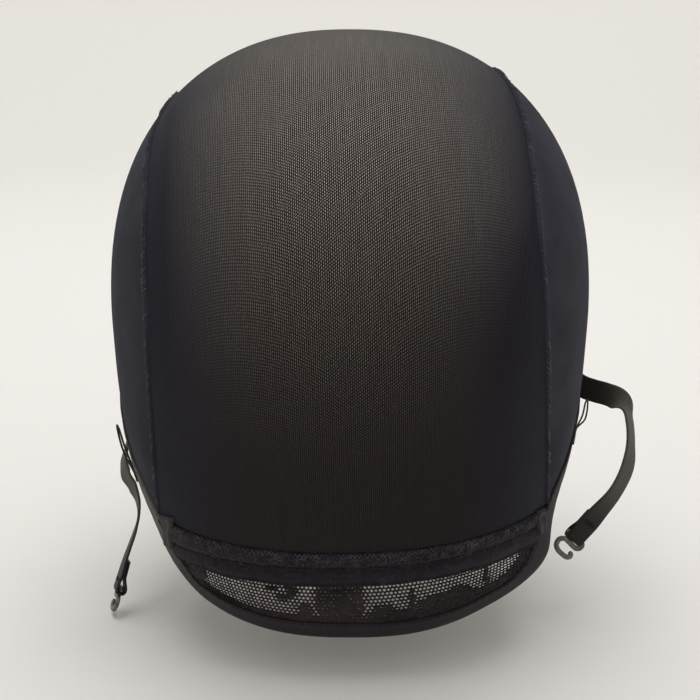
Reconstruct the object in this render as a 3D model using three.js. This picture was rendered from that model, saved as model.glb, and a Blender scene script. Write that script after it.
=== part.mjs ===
// Lace wig cap: a sheer crown panel, two opaque side panels, an elastic nape band over a
// crescent of open net, one binding tape round the rim, and two adjuster straps with hooks.
// Millimetres, +Z up, +Y the way the wearer faces, left pieces on the -X side.
// The origin is the inside of the crown, where the top of the head meets the cap.
import * as THREE from 'three';
import { mergeVertices } from 'three/addons/utils/BufferGeometryUtils.js';

const { degToRad, radToDeg, lerp } = THREE.MathUtils;

// Driving dimensions
const HALF_WIDTH = 79; // outer half width, over the ears
const ROUNDNESS = 2.29; // power of the superellipse that rounds the cap from side to side
const WALL = 1.0; // stretch cloth
const GAP = 0.3; // clearance between sewn neighbours
const WELD = 1e-3; // points nearer than this are one

// Searches for a place on the form: number of halvings, the angles of the back, the headings
// between which a seam meets the binding, and how far past a seam's end a search goes
const SEARCH = { halvings: 44, backLow: 268, backHigh: 150, temple: 60, behindEar: 113, overrun: 0.1 };
const UNDERSIDE = -60; // angles below this are counted on past the nape

// Outer radius of the worn shape in the middle plane, about the centre of the form.
// Angle 0 is the forehead, 90 the crown, 180 the back, 240 the nape, 270 straight down.
const PROFILE_STEP = 30;
const PROFILE = [
  { angle: 0, radius: 96 },
  { angle: 30, radius: 95 },
  { angle: 60, radius: 88.8 },
  { angle: 90, radius: 85.3 },
  { angle: 120, radius: 89.3 },
  { angle: 150, radius: 96 },
  { angle: 180, radius: 98.5 },
  { angle: 210, radius: 99.5 },
  { angle: 240, radius: 119 },
  { angle: 270, radius: 140 },
  { angle: 300, radius: 124 },
  { angle: 330, radius: 105 },
];
const CROWN_RADIUS = PROFILE[90 / PROFILE_STEP].radius;

// Where the two seams of the crown panel lie across the head. The panel sits a little askew.
const SEAMS = [
  { angle: 0, left: -54, right: 47 },
  { angle: 30, left: -56, right: 47.5 },
  { angle: 60, left: -56.5, right: 47.2 },
  { angle: 90, left: -57, right: 47.4 },
  { angle: 120, left: -61.4, right: 51.8 },
  { angle: 150, left: -60.6, right: 54.3 },
  { angle: 180, left: -59.6, right: 57.4 },
  { angle: 210, left: -60, right: 60.1 },
  { angle: 240, left: -60.3, right: 62.3 },
];
const CROWN = { columns: 12, rows: 36 };
const SIDE_DOWNS = [0, 0.035, 0.05, 0.12, 0.25, 0.4, 0.55, 0.7, 0.85, 1]; // seam to rim
const SIDE_COLUMNS = 32;
const SEAM_LIP = { lift: 0.9, rows: 2 }; // raised seam edge on the side panels

// Half of the rim, from the forehead round the ear to the nape: heading 0 is the front,
// 90 the side and 180 the back, height is above the centre of the form, and width is the
// binding tape's.
const RIM = [
  { heading: 0, height: 23, width: 9 },
  { heading: 22, height: 19.5, width: 9 },
  { heading: 40, height: 7, width: 9 },
  { heading: 53, height: -14, width: 9 },
  { heading: 60, height: -34, width: 9 },
  { heading: 66, height: -47, width: 9 },
  { heading: 72, height: -53, width: 9 },
  { heading: 79, height: -50.5, width: 9 },
  { heading: 86, height: -45.5, width: 9 },
  { heading: 94, height: -43.5, width: 9 },
  { heading: 103, height: -47.5, width: 9 },
  { heading: 113, height: -57.5, width: 9 },
  { heading: 118.5, height: -65.5, width: 11 },
  { heading: 121.5, height: -74, width: 12 },
  { heading: 122.5, height: -81, width: 12 },
  { heading: 126, height: -88.3, width: 10.5 },
  { heading: 131, height: -93.8, width: 9 },
  { heading: 141, height: -98, width: 9 },
  { heading: 154, height: -100.8, width: 9 },
  { heading: 168, height: -101.9, width: 9 },
  { heading: 180, height: -102, width: 9 },
];
const BINDING = { proud: 0.6, fold: 0.8, stations: 100 };

// The nape corners stand off the neck, the right one more than the left.
const CORNER = { heading: 122.5, height: -85, radius: 11 };
const FLARE = { left: 0.4, right: 6 };

// Nape band: heights of its edges at the centre, and the lift of its strip and pockets.
const BAND = {
  columns: 40, top: -67, bottom: -78.6, bottomLeft: -78.3, bottomRight: -74.2, stripLift: 0.9,
  stitchLift: 0.25, pocketLift: 1.3, hemPuff: 0.5, tackFirst: 3.7, tackPitch: 16.2, endFit: 6,
};
const BAND_ROWS = [
  { down: 0, face: 'strip' },
  { down: 0.36, face: 'strip' },
  { down: 0.4, face: 'stitch' },
  { down: 0.6, face: 'pocket' },
  { down: 0.85, face: 'pocket' },
  { down: 1, face: 'hem' },
];

// Net crescent, drawn with coarse cells
const NET = {
  rows: 4, columns: 24, solidColumns: 2, cellSides: 6, holeShare: 0.66, zigzag: 1 / 6, topGap: 1.5 * GAP,
};

// Straps: the middle of the elastic from its sewn end to the hook, and the way its width lies.
// Rows without an x are sewn flat on the side panel.
const STRAP = {
  seat: 2 * GAP, width: 8, endWidth: 6.6, thickness: 1, rowSteps: 3, taperSteps: 4, turnStep: 30,
};
const STRAP_FOLD = { left: 1, right: -1 }; // face of the strap that its end is folded on to
const STRAP_TAIL = [
  { back: 2.7, close: 0.6 },
  { back: 5.5, close: 0.9 },
  { back: 10, close: 0.9 },
];
const STRAP_ROUTES = {
  right: [
    { y: 29, z: -34.5, wx: 0, wy: 0, wz: 1 },
    { y: 22, z: -35.5, wx: 0, wy: 0, wz: 1 },
    { x: 79.3, y: 15.5, z: -36.8, wx: 0.1, wy: 0, wz: 1 },
    { x: 81.7, y: 10, z: -38, wx: 0.1, wy: 0.2, wz: 1 },
    { x: 84.6, y: 5.5, z: -38.2, wx: 0, wy: 0.25, wz: 1 },
    { x: 88.9, y: 1, z: -38.5, wx: -0.2, wy: 0.35, wz: 0.9 },
    { x: 92, y: -2.5, z: -39.3, wx: -0.05, wy: 0.65, wz: 0.7 },
    { x: 94.3, y: -5.5, z: -41.6, wx: 0.12, wy: 0.85, wz: 0.4 },
    { x: 95.3, y: -8, z: -45.8, wx: 0.34, wy: 0.92, wz: 0.1 },
    { x: 95.6, y: -10, z: -53.1, wx: 0.45, wy: 0.88, wz: 0 },
    { x: 94.4, y: -12, z: -61, wx: 0.66, wy: 0.72, wz: -0.16 },
    { x: 90.3, y: -14, z: -69, wx: 0.66, wy: 0.66, wz: -0.36 },
    { x: 84.4, y: -15.3, z: -76, wx: 0.7, wy: 0.45, wz: -0.55 },
    { x: 77.9, y: -16.8, z: -83.4, wx: 0.58, wy: 0.05, wz: -0.81 },
  ],
  left: [
    { y: 31, z: -26, wx: 0, wy: 0.85, wz: -0.5 },
    { y: 26, z: -35, wx: 0, wy: 0.88, wz: -0.45 },
    { x: -77.1, y: 20, z: -45, wx: 0, wy: 0.92, wz: -0.35 },
    { x: -77.9, y: 15.5, z: -54, wx: -0.1, wy: 0.95, wz: -0.2 },
    { x: -79.3, y: 12, z: -60.6, wx: -0.15, wy: 0.98, wz: -0.1 },
    { x: -80, y: 9, z: -65.2, wx: -0.3, wy: 0.95, wz: 0 },
    { x: -78.9, y: 6, z: -69, wx: -0.52, wy: 0.84, wz: 0 },
    { x: -76.2, y: 3, z: -72.6, wx: -0.5, wy: 0.85, wz: -0.15 },
    { x: -74.2, y: 0.5, z: -76.8, wx: -0.3, wy: 0.95, wz: -0.05 },
    { x: -73.8, y: -2, z: -81.5, wx: -0.1, wy: 0.99, wz: 0 },
    { x: -75, y: -4.2, z: -86.5, wx: -0.1, wy: 0.99, wz: 0 },
    { x: -76.6, y: -6, z: -91, wx: -0.12, wy: 0.99, wz: 0 },
    { x: -78.3, y: -7.4, z: -95.8, wx: -0.16, wy: 0.98, wz: 0.05 },
    { x: -79.8, y: -8.5, z: -100.6, wx: -0.22, wy: 0.97, wz: 0.05 },
    { x: -81.4, y: -9.4, z: -105, wx: -0.3, wy: 0.95, wz: 0.1 },
  ],
};

// Hook: a wire shape in the plane of the strap's end, along its bars and away from the strap.
// One bar lies in the strap's fold, a second just beyond it, and an open C hangs from that.
const HOOK = { wire: 1.5, sides: 6, steps: 30 };
const HOOK_PATH = [
  { along: -3.2, out: 0 },
  { along: 3.3, out: 0 },
  { along: 4.2, out: 0.9 },
  { along: 4.2, out: 2.2 },
  { along: 3.3, out: 3.1 },
  { along: -2.4, out: 3.1 },
  { along: -3.7, out: 4.3 },
  { along: -3.3, out: 6.2 },
  { along: -1.6, out: 7.3 },
  { along: 1, out: 7.5 },
  { along: 2.8, out: 7.2 },
  { along: 3.4, out: 6.3 },
  { along: 2.9, out: 5.6 },
  { along: 2, out: 5.5 },
];

// Ear loops: a doubled thin elastic from the binding out to its tip, and the way it spreads.
const LOOP = { cord: 1.0, sides: 6, steps: 26, baseShare: 0.4, shoulder: 0.72, shoulderShare: 0.85 };
const LOOPS = {
  right: [
    { spot: 'base', x: 77.2, y: -20, z: -46.5 },
    { spot: 'middle', x: 78.6, y: -15, z: -42.2 },
    { spot: 'tip', x: 80.4, y: -10.5, z: -36.5 },
    { spot: 'spread', x: 0.8, y: 2.2, z: -1.2 },
  ],
  left: [
    { spot: 'base', x: -71.9, y: -29.5, z: -57.5 },
    { spot: 'middle', x: -75.6, y: -20, z: -51.8 },
    { spot: 'tip', x: -78.9, y: -12, z: -46 },
    { spot: 'spread', x: -0.4, y: 1.9, z: -1.7 },
  ],
};

const FINISH = {
  mesh: { color: 0x322e28, roughness: 0.9, metalness: 0 },
  stretch: { color: 0x3c3c41, roughness: 0.8, metalness: 0 },
  elastic: { color: 0x2c292d, roughness: 0.85, metalness: 0 },
  net: { color: 0x1d1b1e, roughness: 0.9, metalness: 0 },
  tape: { color: 0x302d31, roughness: 0.75, metalness: 0 },
  webbing: { color: 0x302d2b, roughness: 0.8, metalness: 0 },
  plastic: { color: 0x55534b, roughness: 0.45, metalness: 0 },
};

const vec = (x, y, z) => new THREE.Vector3(x, y, z);

// The argument between `low` and `high` at which a rising function passes zero
function solve(f, low, high) {
  let [a, b] = [low, high];
  for (let step = 0; step < SEARCH.halvings; step += 1) {
    const middle = (a + b) / 2;
    if (f(middle) < 0) {
      a = middle;
    } else {
      b = middle;
    }
  }
  return (a + b) / 2;
}

// Smooth value of a table's column, whose rows are PROFILE_STEP degrees apart
function smoothColumn(rows, column, angle, wrap) {
  const place = angle / PROFILE_STEP;
  const last = rows.length - 1;
  const first = wrap ? Math.floor(place) : THREE.MathUtils.clamp(Math.floor(place), 0, last - 1);
  const row = (i) => (wrap ? (i + 2 * rows.length) % rows.length : THREE.MathUtils.clamp(i, 0, last));
  const [a, b, c, d] = [-1, 0, 1, 2].map((i) => rows[row(first + i)][column]);
  const t = place - first;
  const [slopeIn, slopeOut] = [(c - a) / 2, (d - b) / 2];
  const cubic = 2 * b - 2 * c + slopeIn + slopeOut;
  const square = 3 * c - 3 * b - 2 * slopeIn - slopeOut;
  return ((cubic * t + square) * t + slopeIn) * t + b;
}

// The worn form: |x / half width|^n + (radius in the middle plane / profile)^n = 1
const profileRadius = (angle) => smoothColumn(PROFILE, 'radius', ((angle % 360) + 360) % 360, true);
const seamAt = (side, angle) => smoothColumn(SEAMS, side, angle, false);

function sideAngle(p) {
  const angle = radToDeg(Math.atan2(p.z, p.y));
  return angle < UNDERSIDE ? angle + 360 : angle;
}

function fieldPower(p) {
  const middle = Math.hypot(p.y, p.z) / profileRadius(radToDeg(Math.atan2(p.z, p.y)));
  return (Math.abs(p.x) / HALF_WIDTH) ** ROUNDNESS + middle ** ROUNDNESS;
}

const onForm = (p) => p.clone().multiplyScalar(fieldPower(p) ** (-1 / ROUNDNESS));

function formNormal(p) {
  const nudge = 0.01;
  const slope = (axis) => {
    const step = vec(0, 0, 0).setComponent(axis, nudge);
    return fieldPower(p.clone().add(step)) - fieldPower(p.clone().sub(step));
  };
  return vec(slope(0), slope(1), slope(2)).normalize();
}

function formAt(x, angle) {
  const share = (1 - (Math.abs(x) / HALF_WIDTH) ** ROUNDNESS) ** (1 / ROUNDNESS);
  const radius = share * profileRadius(angle);
  return vec(x, radius * Math.cos(degToRad(angle)), radius * Math.sin(degToRad(angle)));
}

function backPoint(x, height) {
  const above = (angle) => formAt(x, angle).z - height;
  return formAt(x, solve(above, SEARCH.backLow, SEARCH.backHigh));
}

function sidePoint(side, y, z) {
  const share = Math.hypot(y, z) / profileRadius(radToDeg(Math.atan2(z, y)));
  const x = HALF_WIDTH * (1 - share ** ROUNDNESS) ** (1 / ROUNDNESS);
  return vec(side === 'left' ? -x : x, y, z);
}

function headingPoint(heading, height) {
  const [across, along] = [Math.sin(degToRad(heading)), Math.cos(degToRad(heading))];
  const at = (reach) => vec(reach * across, reach * along, height);
  return at(solve((reach) => fieldPower(at(reach)) - 1, 0, 2 * HALF_WIDTH));
}

// A place on the cap: a point of the form lifted along its normal, with the corners' flare
const corners = [['left', -1], ['right', 1]].map(([side, sign]) => ({
  centre: headingPoint(sign * CORNER.heading, CORNER.height),
  push: sign * FLARE[side],
}));

function place(p, lift) {
  const out = p.clone().addScaledVector(formNormal(p), lift);
  for (const { centre, push } of corners) {
    out.x += push * Math.exp(-0.5 * (p.distanceTo(centre) / CORNER.radius) ** 2);
  }
  return out;
}

// The rim as one closed loop: forehead, right ear, nape, left ear
const leftRows = RIM.slice(1, -1).reverse().map((row) => ({ ...row, heading: -row.heading }));
const rimRows = [...RIM, ...leftRows];
const rimLoop = new THREE.CatmullRomCurve3(
  rimRows.map((row) => headingPoint(row.heading, row.height)), true, 'centripetal');
const NAPE = 0.5; // share of the loop at the middle of the nape
const rimShare = (heading) => RIM.findIndex((row) => row.heading >= heading) / rimRows.length;

function rimFrame(share) {
  const rows = rimRows.length;
  const turn = ((share % 1) + 1) % 1;
  const spot = turn * rows;
  const row = Math.floor(spot);
  const edge = onForm(rimLoop.getPoint(turn));
  const inward = rimLoop.getTangent(turn).cross(formNormal(edge)).normalize();
  const width = lerp(rimRows[row % rows].width, rimRows[(row + 1) % rows].width, spot - row);
  return { edge, inward, width };
}

// The rim's line at the inner edge of the binding, where the panels stop
function tapeLine(share, extra) {
  const { edge, inward, width } = rimFrame(share);
  return onForm(edge.addScaledVector(inward, width + extra));
}

// Equal steps of length along the binding's inner edge, from one share of the rim to another
function evenShares(from, to, count) {
  const fine = 160;
  const samples = Array.from({ length: fine + 1 }, (_, i) => lerp(from, to, i / fine));
  const points = samples.map((share) => tapeLine(share, GAP));
  const lengths = [0];
  for (let i = 1; i < points.length; i += 1) {
    lengths.push(lengths[i - 1] + points[i].distanceTo(points[i - 1]));
  }
  return Array.from({ length: count + 1 }, (_, k) => {
    const goal = lengths.at(-1) * (k / count);
    const i = Math.max(1, lengths.findIndex((length) => length >= goal - 1e-9));
    const part = (goal - lengths[i - 1]) / (lengths[i] - lengths[i - 1]);
    return lerp(samples[i - 1], samples[i], part);
  });
}

// Closed body from points and triangles: welded, without empty triangles, faces outwards
function closedBody(points, triangles) {
  const loose = new THREE.BufferGeometry();
  const numbers = points.flatMap((p) => p.toArray());
  loose.setAttribute('position', new THREE.Float32BufferAttribute(numbers, 3));
  loose.setIndex(triangles);
  const body = mergeVertices(loose, WELD);
  const position = body.getAttribute('position');
  const corner = (i) => vec().fromBufferAttribute(position, i);
  const kept = [];
  let volume = 0;
  for (let i = 0; i < body.index.count; i += 3) {
    const [a, b, c] = [0, 1, 2].map((k) => body.index.getX(i + k));
    if (a !== b && b !== c && c !== a) {
      kept.push(a, b, c);
      volume += corner(a).dot(corner(b).cross(corner(c)));
    }
  }
  body.setIndex(volume < 0 ? kept.reverse() : kept);
  return body;
}

// Triangles of a band of quads between two rings or rows of point numbers
function ladder(first, second) {
  return first.slice(1).flatMap((_, i) => [
    first[i], first[i + 1], second[i + 1], first[i], second[i + 1], second[i]]);
}

// Sheet of cloth over a grid of form points, `lift` proud of the form and WALL thick below it
function sheet(grid, lift) {
  const rows = grid.length;
  const columns = grid[0].length;
  const outer = grid.flatMap((row, j) => row.map((p, i) => place(p, lift(i, j))));
  const inner = grid.flatMap((row) => row.map((p) => place(p, -WALL)));
  const number = (j, i, side) => side * rows * columns + j * columns + i;
  const line = (j, side) => Array.from({ length: columns }, (_, i) => number(j, i, side));
  const upright = (i, side) => Array.from({ length: rows }, (_, j) => number(j, i, side));
  const triangles = [];
  for (let j = 1; j < rows; j += 1) {
    triangles.push(...ladder(line(j - 1, 0), line(j, 0)), ...ladder(line(j, 1), line(j - 1, 1)));
  }
  const [lastRow, lastColumn] = [rows - 1, columns - 1];
  triangles.push(...ladder(line(0, 1), line(0, 0)));
  triangles.push(...ladder(line(lastRow, 0), line(lastRow, 1)));
  triangles.push(...ladder(upright(0, 0), upright(0, 1)));
  triangles.push(...ladder(upright(lastColumn, 1), upright(lastColumn, 0)));
  return closedBody([...outer, ...inner], triangles);
}

// Body swept through a list of rings of equal length, closed on itself or capped at its ends
function sweep(rings, closed) {
  const sides = rings[0].length;
  const around = Array.from({ length: sides + 1 }, (_, i) => i % sides);
  const ringNumbers = rings.map((_, k) => around.map((i) => k * sides + i));
  const triangles = ringNumbers.slice(1).flatMap((ring, k) => ladder(ringNumbers[k], ring));
  if (closed) {
    triangles.push(...ladder(ringNumbers.at(-1), ringNumbers[0]));
  } else {
    for (let i = 1; i < sides - 1; i += 1) {
      const [first, last] = [ringNumbers[0], ringNumbers.at(-1)];
      triangles.push(first[0], first[i + 1], first[i], last[0], last[i], last[i + 1]);
    }
  }
  return closedBody(rings.flat(), triangles);
}

// Round cord or wire along a smooth curve
function cord(points, diameter, sides, steps) {
  const section = new THREE.Shape(Array.from({ length: sides }, (_, i) => {
    const turn = (2 * Math.PI * i) / sides;
    return new THREE.Vector2(Math.cos(turn), Math.sin(turn)).multiplyScalar(diameter / 2);
  }));
  const extrudePath = new THREE.CatmullRomCurve3(points, false, 'centripetal');
  const tube = new THREE.ExtrudeGeometry(section, { steps, extrudePath, bevelEnabled: false });
  tube.deleteAttribute('normal');
  tube.deleteAttribute('uv');
  return mergeVertices(tube, WELD / 10);
}

// Share of the way across the crown panel, 0 at the left seam and 1 at the right
function seamShare(p) {
  const angle = sideAngle(p);
  const left = seamAt('left', angle);
  return (p.x - left) / (seamAt('right', angle) - left);
}

// Where each seam, moved out by the gap, meets the binding at the front and at the nape
function seamEnds(side) {
  const sign = side === 'left' ? -1 : 1;
  const clear = (share) => {
    const p = tapeLine(sign * share, GAP);
    return sign * (p.x - seamAt(side, sideAngle(p))) - GAP;
  };
  return {
    front: sign * solve(clear, 0, rimShare(SEARCH.temple)),
    back: sign * solve(clear, rimShare(CORNER.heading), rimShare(SEARCH.behindEar)),
  };
}
const ends = { left: seamEnds('left'), right: seamEnds('right') };
const napeEnds = {
  left: tapeLine(ends.left.back, GAP),
  right: tapeLine(ends.right.back, GAP),
};

// Height of an edge of the nape band, a bowed line across the back of the head
function bandHeight(centre, leftEnd, rightEnd) {
  const half = (napeEnds.right.x - napeEnds.left.x) / 2;
  const rise = (leftEnd + rightEnd) / 2 - centre;
  const tilt = (rightEnd - leftEnd) / 2;
  const middle = (napeEnds.right.x + napeEnds.left.x) / 2;
  return (x) => {
    const t = (x - middle) / half;
    return centre + rise * t * t + tilt * t;
  };
}
const bandTop = bandHeight(BAND.top, napeEnds.left.z, napeEnds.right.z);
const bandBottom = bandHeight(BAND.bottom, BAND.bottomLeft, BAND.bottomRight);

// Crown panel: columns of equal seam share, rows of equal angle from forehead to nape band
function crownPanel() {
  const { columns, rows } = CROWN;
  const shares = Array.from({ length: columns + 1 }, (_, i) => i / columns);
  const frontEdge = (rim) => tapeLine(rim, GAP);
  const backEdge = (x) => backPoint(x, bandTop(x) + GAP);
  const past = 1 + SEARCH.overrun;
  const front = shares.map((share) => sideAngle(frontEdge(solve(
    (rim) => seamShare(frontEdge(rim)) - share, past * ends.left.front, past * ends.right.front))));
  const back = shares.map((share) => sideAngle(backEdge(solve(
    (x) => seamShare(backEdge(x)) - share, past * napeEnds.left.x, past * napeEnds.right.x))));
  const grid = Array.from({ length: rows + 1 }, (_, j) => shares.map((share, i) => {
    const angle = lerp(front[i], back[i], j / rows);
    return formAt(lerp(seamAt('left', angle), seamAt('right', angle), share), angle);
  }));
  return sheet(grid, () => 0);
}

// Side panel: from the seam down to the binding, meeting in a point at the front and the nape
function sidePanel(side) {
  const sign = side === 'left' ? -1 : 1;
  const columns = SIDE_COLUMNS;
  const [from, to] = [ends[side].front, ends[side].back];
  const [first, last] = [from, to].map((share) => sideAngle(tapeLine(share, GAP)));
  const grid = SIDE_DOWNS.map((down) => Array.from({ length: columns + 1 }, (_, i) => {
    const angle = lerp(first, last, i / columns);
    const seam = formAt(seamAt(side, angle) + sign * GAP, angle);
    const rim = tapeLine(lerp(from, to, i / columns), GAP);
    return onForm(seam.lerp(rim, down));
  }));
  return sheet(grid, (i, j) => (j < SEAM_LIP.rows && i > 0 && i < columns ? SEAM_LIP.lift : 0));
}

// Shares of the rim at which the binding crosses the lower edge of the band
function bandEnd(side) {
  const sign = side === 'left' ? -1 : 1;
  const below = (share) => {
    const p = tapeLine(sign * share, GAP);
    return p.z - bandBottom(p.x);
  };
  return sign * solve(below, NAPE, Math.abs(ends[side].back));
}
const lowEnds = { left: bandEnd('left'), right: bandEnd('right') };

// Nape band: an overlocked strip along the top, then pockets that puff out between bar tacks
function napeBand() {
  const { columns, endFit } = BAND;
  const sides = ['left', 'right'].map((side) => BAND_ROWS.map(({ down }) => {
    const share = lerp(Math.abs(ends[side].back), Math.abs(lowEnds[side]), down);
    return tapeLine(side === 'left' ? -share : share, GAP);
  }));
  const height = (x, down) => lerp(bandTop(x), bandBottom(x), down);
  const grid = BAND_ROWS.map(({ down }, j) => Array.from({ length: columns + 1 }, (_, i) => {
    const [left, right] = [sides[0][j], sides[1][j]];
    const x = lerp(left.x, right.x, i / columns);
    const fitLeft = (left.z - height(left.x, down)) * (1 - i / columns) ** endFit;
    const fitRight = (right.z - height(right.x, down)) * (i / columns) ** endFit;
    return backPoint(x, height(x, down) + fitLeft + fitRight);
  }));
  const lift = (i, j) => {
    const { face } = BAND_ROWS[j];
    if (face === 'strip') {
      return BAND.stripLift;
    }
    if (face === 'stitch') {
      return BAND.stitchLift;
    }
    const pocket = (grid[j][i].x - BAND.tackFirst) / BAND.tackPitch;
    const puff = Math.sqrt(Math.abs(Math.sin(Math.PI * pocket)));
    return BAND.stitchLift + BAND.pocketLift * puff * (face === 'hem' ? BAND.hemPuff : 1);
  };
  return sheet(grid, lift);
}

// Net crescent: a honeycomb whose vertical walls alternate from row to row
function napeLace() {
  const { rows, columns, solidColumns, cellSides, holeShare, zigzag, topGap } = NET;
  const halves = 2 * columns;
  const [from, to] = [lowEnds.left + 1, lowEnds.right];
  const tops = Array.from({ length: halves + 1 }, (_, i) => {
    const x = lerp(tapeLine(from, GAP).x, tapeLine(to, GAP).x, i / halves);
    return backPoint(x, bandBottom(x) - topGap);
  });
  const bottoms = evenShares(from, to, halves).map((share) => tapeLine(share, GAP));
  const onNet = (i, down) => onForm(tops[i].clone().lerp(bottoms[i], down));
  const points = [];
  const add = (p) => {
    points.push(place(p, 0), place(p, -WALL));
    return points.length - 2;
  };
  const knot = (i, j) => {
    const sway = (i + j) % 2 === 0 ? zigzag : -zigzag;
    const down = j > 0 && j < rows ? j + sway : j;
    const p = i === 0 || i === halves ? bottoms[i].clone() : onNet(i, down / rows);
    return { p, number: add(p) };
  };
  const knots = Array.from({ length: rows + 1 }, (_, j) => tops.map((_, i) => knot(i, j)));
  const triangles = [];
  const both = (a, b, c) => triangles.push(a, b, c, a + 1, c + 1, b + 1);
  const wall = (a, b) => triangles.push(a, a + 1, b, b, a + 1, b + 1);
  for (let j = 0; j < rows; j += 1) {
    for (let start = -(j % 2); start < halves; start += 2) {
      const [a, b] = [Math.max(0, start), Math.min(halves, start + 2)];
      const across = Array.from({ length: b - a + 1 }, (_, k) => a + k);
      const upper = across.map((i) => knots[j][i]);
      const lower = across.map((i) => knots[j + 1][i]);
      const ring = [...upper, ...lower.reverse()];
      const inside = a >= solidColumns && b <= halves - solidColumns;
      if (inside && ring.length === cellSides) {
        const centre = ring.reduce((sum, { p }) => sum.add(p), vec(0, 0, 0)).divideScalar(cellSides);
        const hole = ring.map(({ p }) => add(onForm(centre.clone().lerp(p, holeShare))));
        ring.forEach(({ number }, k) => {
          const n = (k + 1) % cellSides;
          both(number, hole[k], hole[n]);
          both(number, hole[n], ring[n].number);
          wall(hole[k], hole[n]);
        });
      } else {
        ring.slice(2).forEach(({ number }, k) => both(ring[0].number, number, ring[k + 1].number));
      }
    }
  }
  for (let i = 0; i < halves; i += 1) {
    wall(knots[0][i + 1].number, knots[0][i].number);
    wall(knots[rows][i].number, knots[rows][i + 1].number);
  }
  return closedBody(points, triangles);
}

// Binding: a folded tape round the whole rim, proud of the cloth on both faces
function edgeBinding() {
  const { proud, fold, stations } = BINDING;
  const rings = Array.from({ length: stations }, (_, k) => {
    const share = rimLoop.getUtoTmapping(k / stations);
    const { edge, inward } = rimFrame(share);
    const shoulder = onForm(edge.clone().addScaledVector(inward, fold));
    const inner = tapeLine(share, 0);
    return [
      place(edge, -WALL / 2),
      place(shoulder, proud),
      place(inner, proud),
      place(inner, -WALL - proud),
      place(shoulder, -WALL - proud),
    ];
  });
  return sweep(rings, true);
}

// One row of a strap's route: its middle and the way its width lies
function strapSpot(side, { x, y, z, wx, wy, wz }) {
  const across = vec(wx, wy, wz);
  if (x !== undefined) {
    return { centre: vec(x, y, z), across };
  }
  const panel = sidePoint(side, y, z);
  return {
    centre: place(panel, STRAP.seat + STRAP.thickness / 2),
    across: across.projectOnPlane(formNormal(panel)),
  };
}

// A strap's middle line and the way its width lies, as two curves over its route
function strapCurves(side) {
  const spots = STRAP_ROUTES[side].map((row) => strapSpot(side, row));
  const middle = new THREE.CatmullRomCurve3(spots.map((spot) => spot.centre), false, 'centripetal');
  const across = new THREE.CatmullRomCurve3(spots.map((spot) => spot.across));
  return { middle, across };
}

// Frame at a share of a strap's route: middle, direction, face towards its fold, and width
function strapFrame(side, { middle, across }, share) {
  const along = middle.getTangent(share);
  const face = along.clone().cross(across.getPoint(share)).normalize().multiplyScalar(STRAP_FOLD[side]);
  return { centre: middle.getPoint(share), along, face, width: face.clone().cross(along) };
}

// The end of a strap turns round the hook's bar, whose centre lies off the strap's face
function hookSeat(side) {
  const end = strapFrame(side, strapCurves(side), 1);
  const turn = HOOK.wire / 2 + GAP + STRAP.thickness / 2;
  return { ...end, turn, bar: end.centre.clone().addScaledVector(end.face, turn) };
}

function strap(side) {
  const curves = strapCurves(side);
  const steps = STRAP.rowSteps * (STRAP_ROUTES[side].length - 1);
  const frames = Array.from({ length: steps + 1 }, (_, k) => {
    const taper = Math.max(0, 1 - (steps - k) / STRAP.taperSteps);
    const half = lerp(STRAP.width, STRAP.endWidth, taper) / 2;
    return { ...strapFrame(side, curves, k / steps), half };
  });
  const { bar, turn, along, face, width } = hookSeat(side);
  const half = STRAP.endWidth / 2;
  for (let degrees = STRAP.turnStep; degrees <= 180; degrees += STRAP.turnStep) {
    const [sin, cos] = [Math.sin(degToRad(degrees)), Math.cos(degToRad(degrees))];
    const out = face.clone().multiplyScalar(-cos).addScaledVector(along, sin);
    frames.push({ centre: bar.clone().addScaledVector(out, turn), face: out.negate(), width, half });
  }
  const lay = 2 * turn - STRAP.thickness - GAP;
  const length = curves.middle.getLength();
  for (const { back, close } of STRAP_TAIL) {
    const under = strapFrame(side, curves, curves.middle.getUtoTmapping(1 - back / length));
    const centre = under.centre.addScaledVector(under.face, 2 * turn - lay * close);
    frames.push({ centre, face: under.face.negate(), width: under.width, half });
  }
  const edges = [[1, 1], [-1, 1], [-1, -1], [1, -1]];
  const rings = frames.map((frame) => edges.map(([w, t]) => frame.centre.clone()
    .addScaledVector(frame.width, w * frame.half)
    .addScaledVector(frame.face, (t * STRAP.thickness) / 2)));
  return sweep(rings, false);
}

function hook(side) {
  const { bar, width, along } = hookSeat(side);
  const points = HOOK_PATH.map((row) => bar.clone()
    .addScaledVector(width, STRAP_FOLD[side] * row.along)
    .addScaledVector(along, row.out));
  return cord(points, HOOK.wire, HOOK.sides, HOOK.steps);
}

function earLoop(side) {
  const [base, middle, tip, spread] = LOOPS[side].map(({ x, y, z }) => vec(x, y, z));
  const shoulder = middle.clone().lerp(tip, LOOP.shoulder);
  const seat = BINDING.proud + GAP + LOOP.cord / 2;
  const strand = (way) => [
    place(onForm(base.clone().addScaledVector(spread, way * LOOP.baseShare)), seat),
    middle.clone().addScaledVector(spread, way),
    shoulder.clone().addScaledVector(spread, way * LOOP.shoulderShare),
  ];
  const points = [...strand(-1), tip, ...strand(1).reverse()];
  return cord(points, LOOP.cord, LOOP.sides, LOOP.steps);
}

const cap = new THREE.Group();
cap.position.z = WALL - CROWN_RADIUS;
const sew = (name, body, finish) => {
  const piece = new THREE.Mesh(body, new THREE.MeshStandardMaterial(FINISH[finish]));
  piece.name = name;
  cap.add(piece);
};

sew('crown_panel', crownPanel(), 'mesh');
sew('nape_band', napeBand(), 'elastic');
sew('nape_lace', napeLace(), 'net');
sew('edge_binding', edgeBinding(), 'tape');
for (const side of ['left', 'right']) {
  sew(`side_panel_${side}`, sidePanel(side), 'stretch');
  sew(`strap_${side}`, strap(side), 'webbing');
  sew(`hook_${side}`, hook(side), 'plastic');
  sew(`ear_loop_${side}`, earLoop(side), 'webbing');
}

export default cap;
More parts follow.
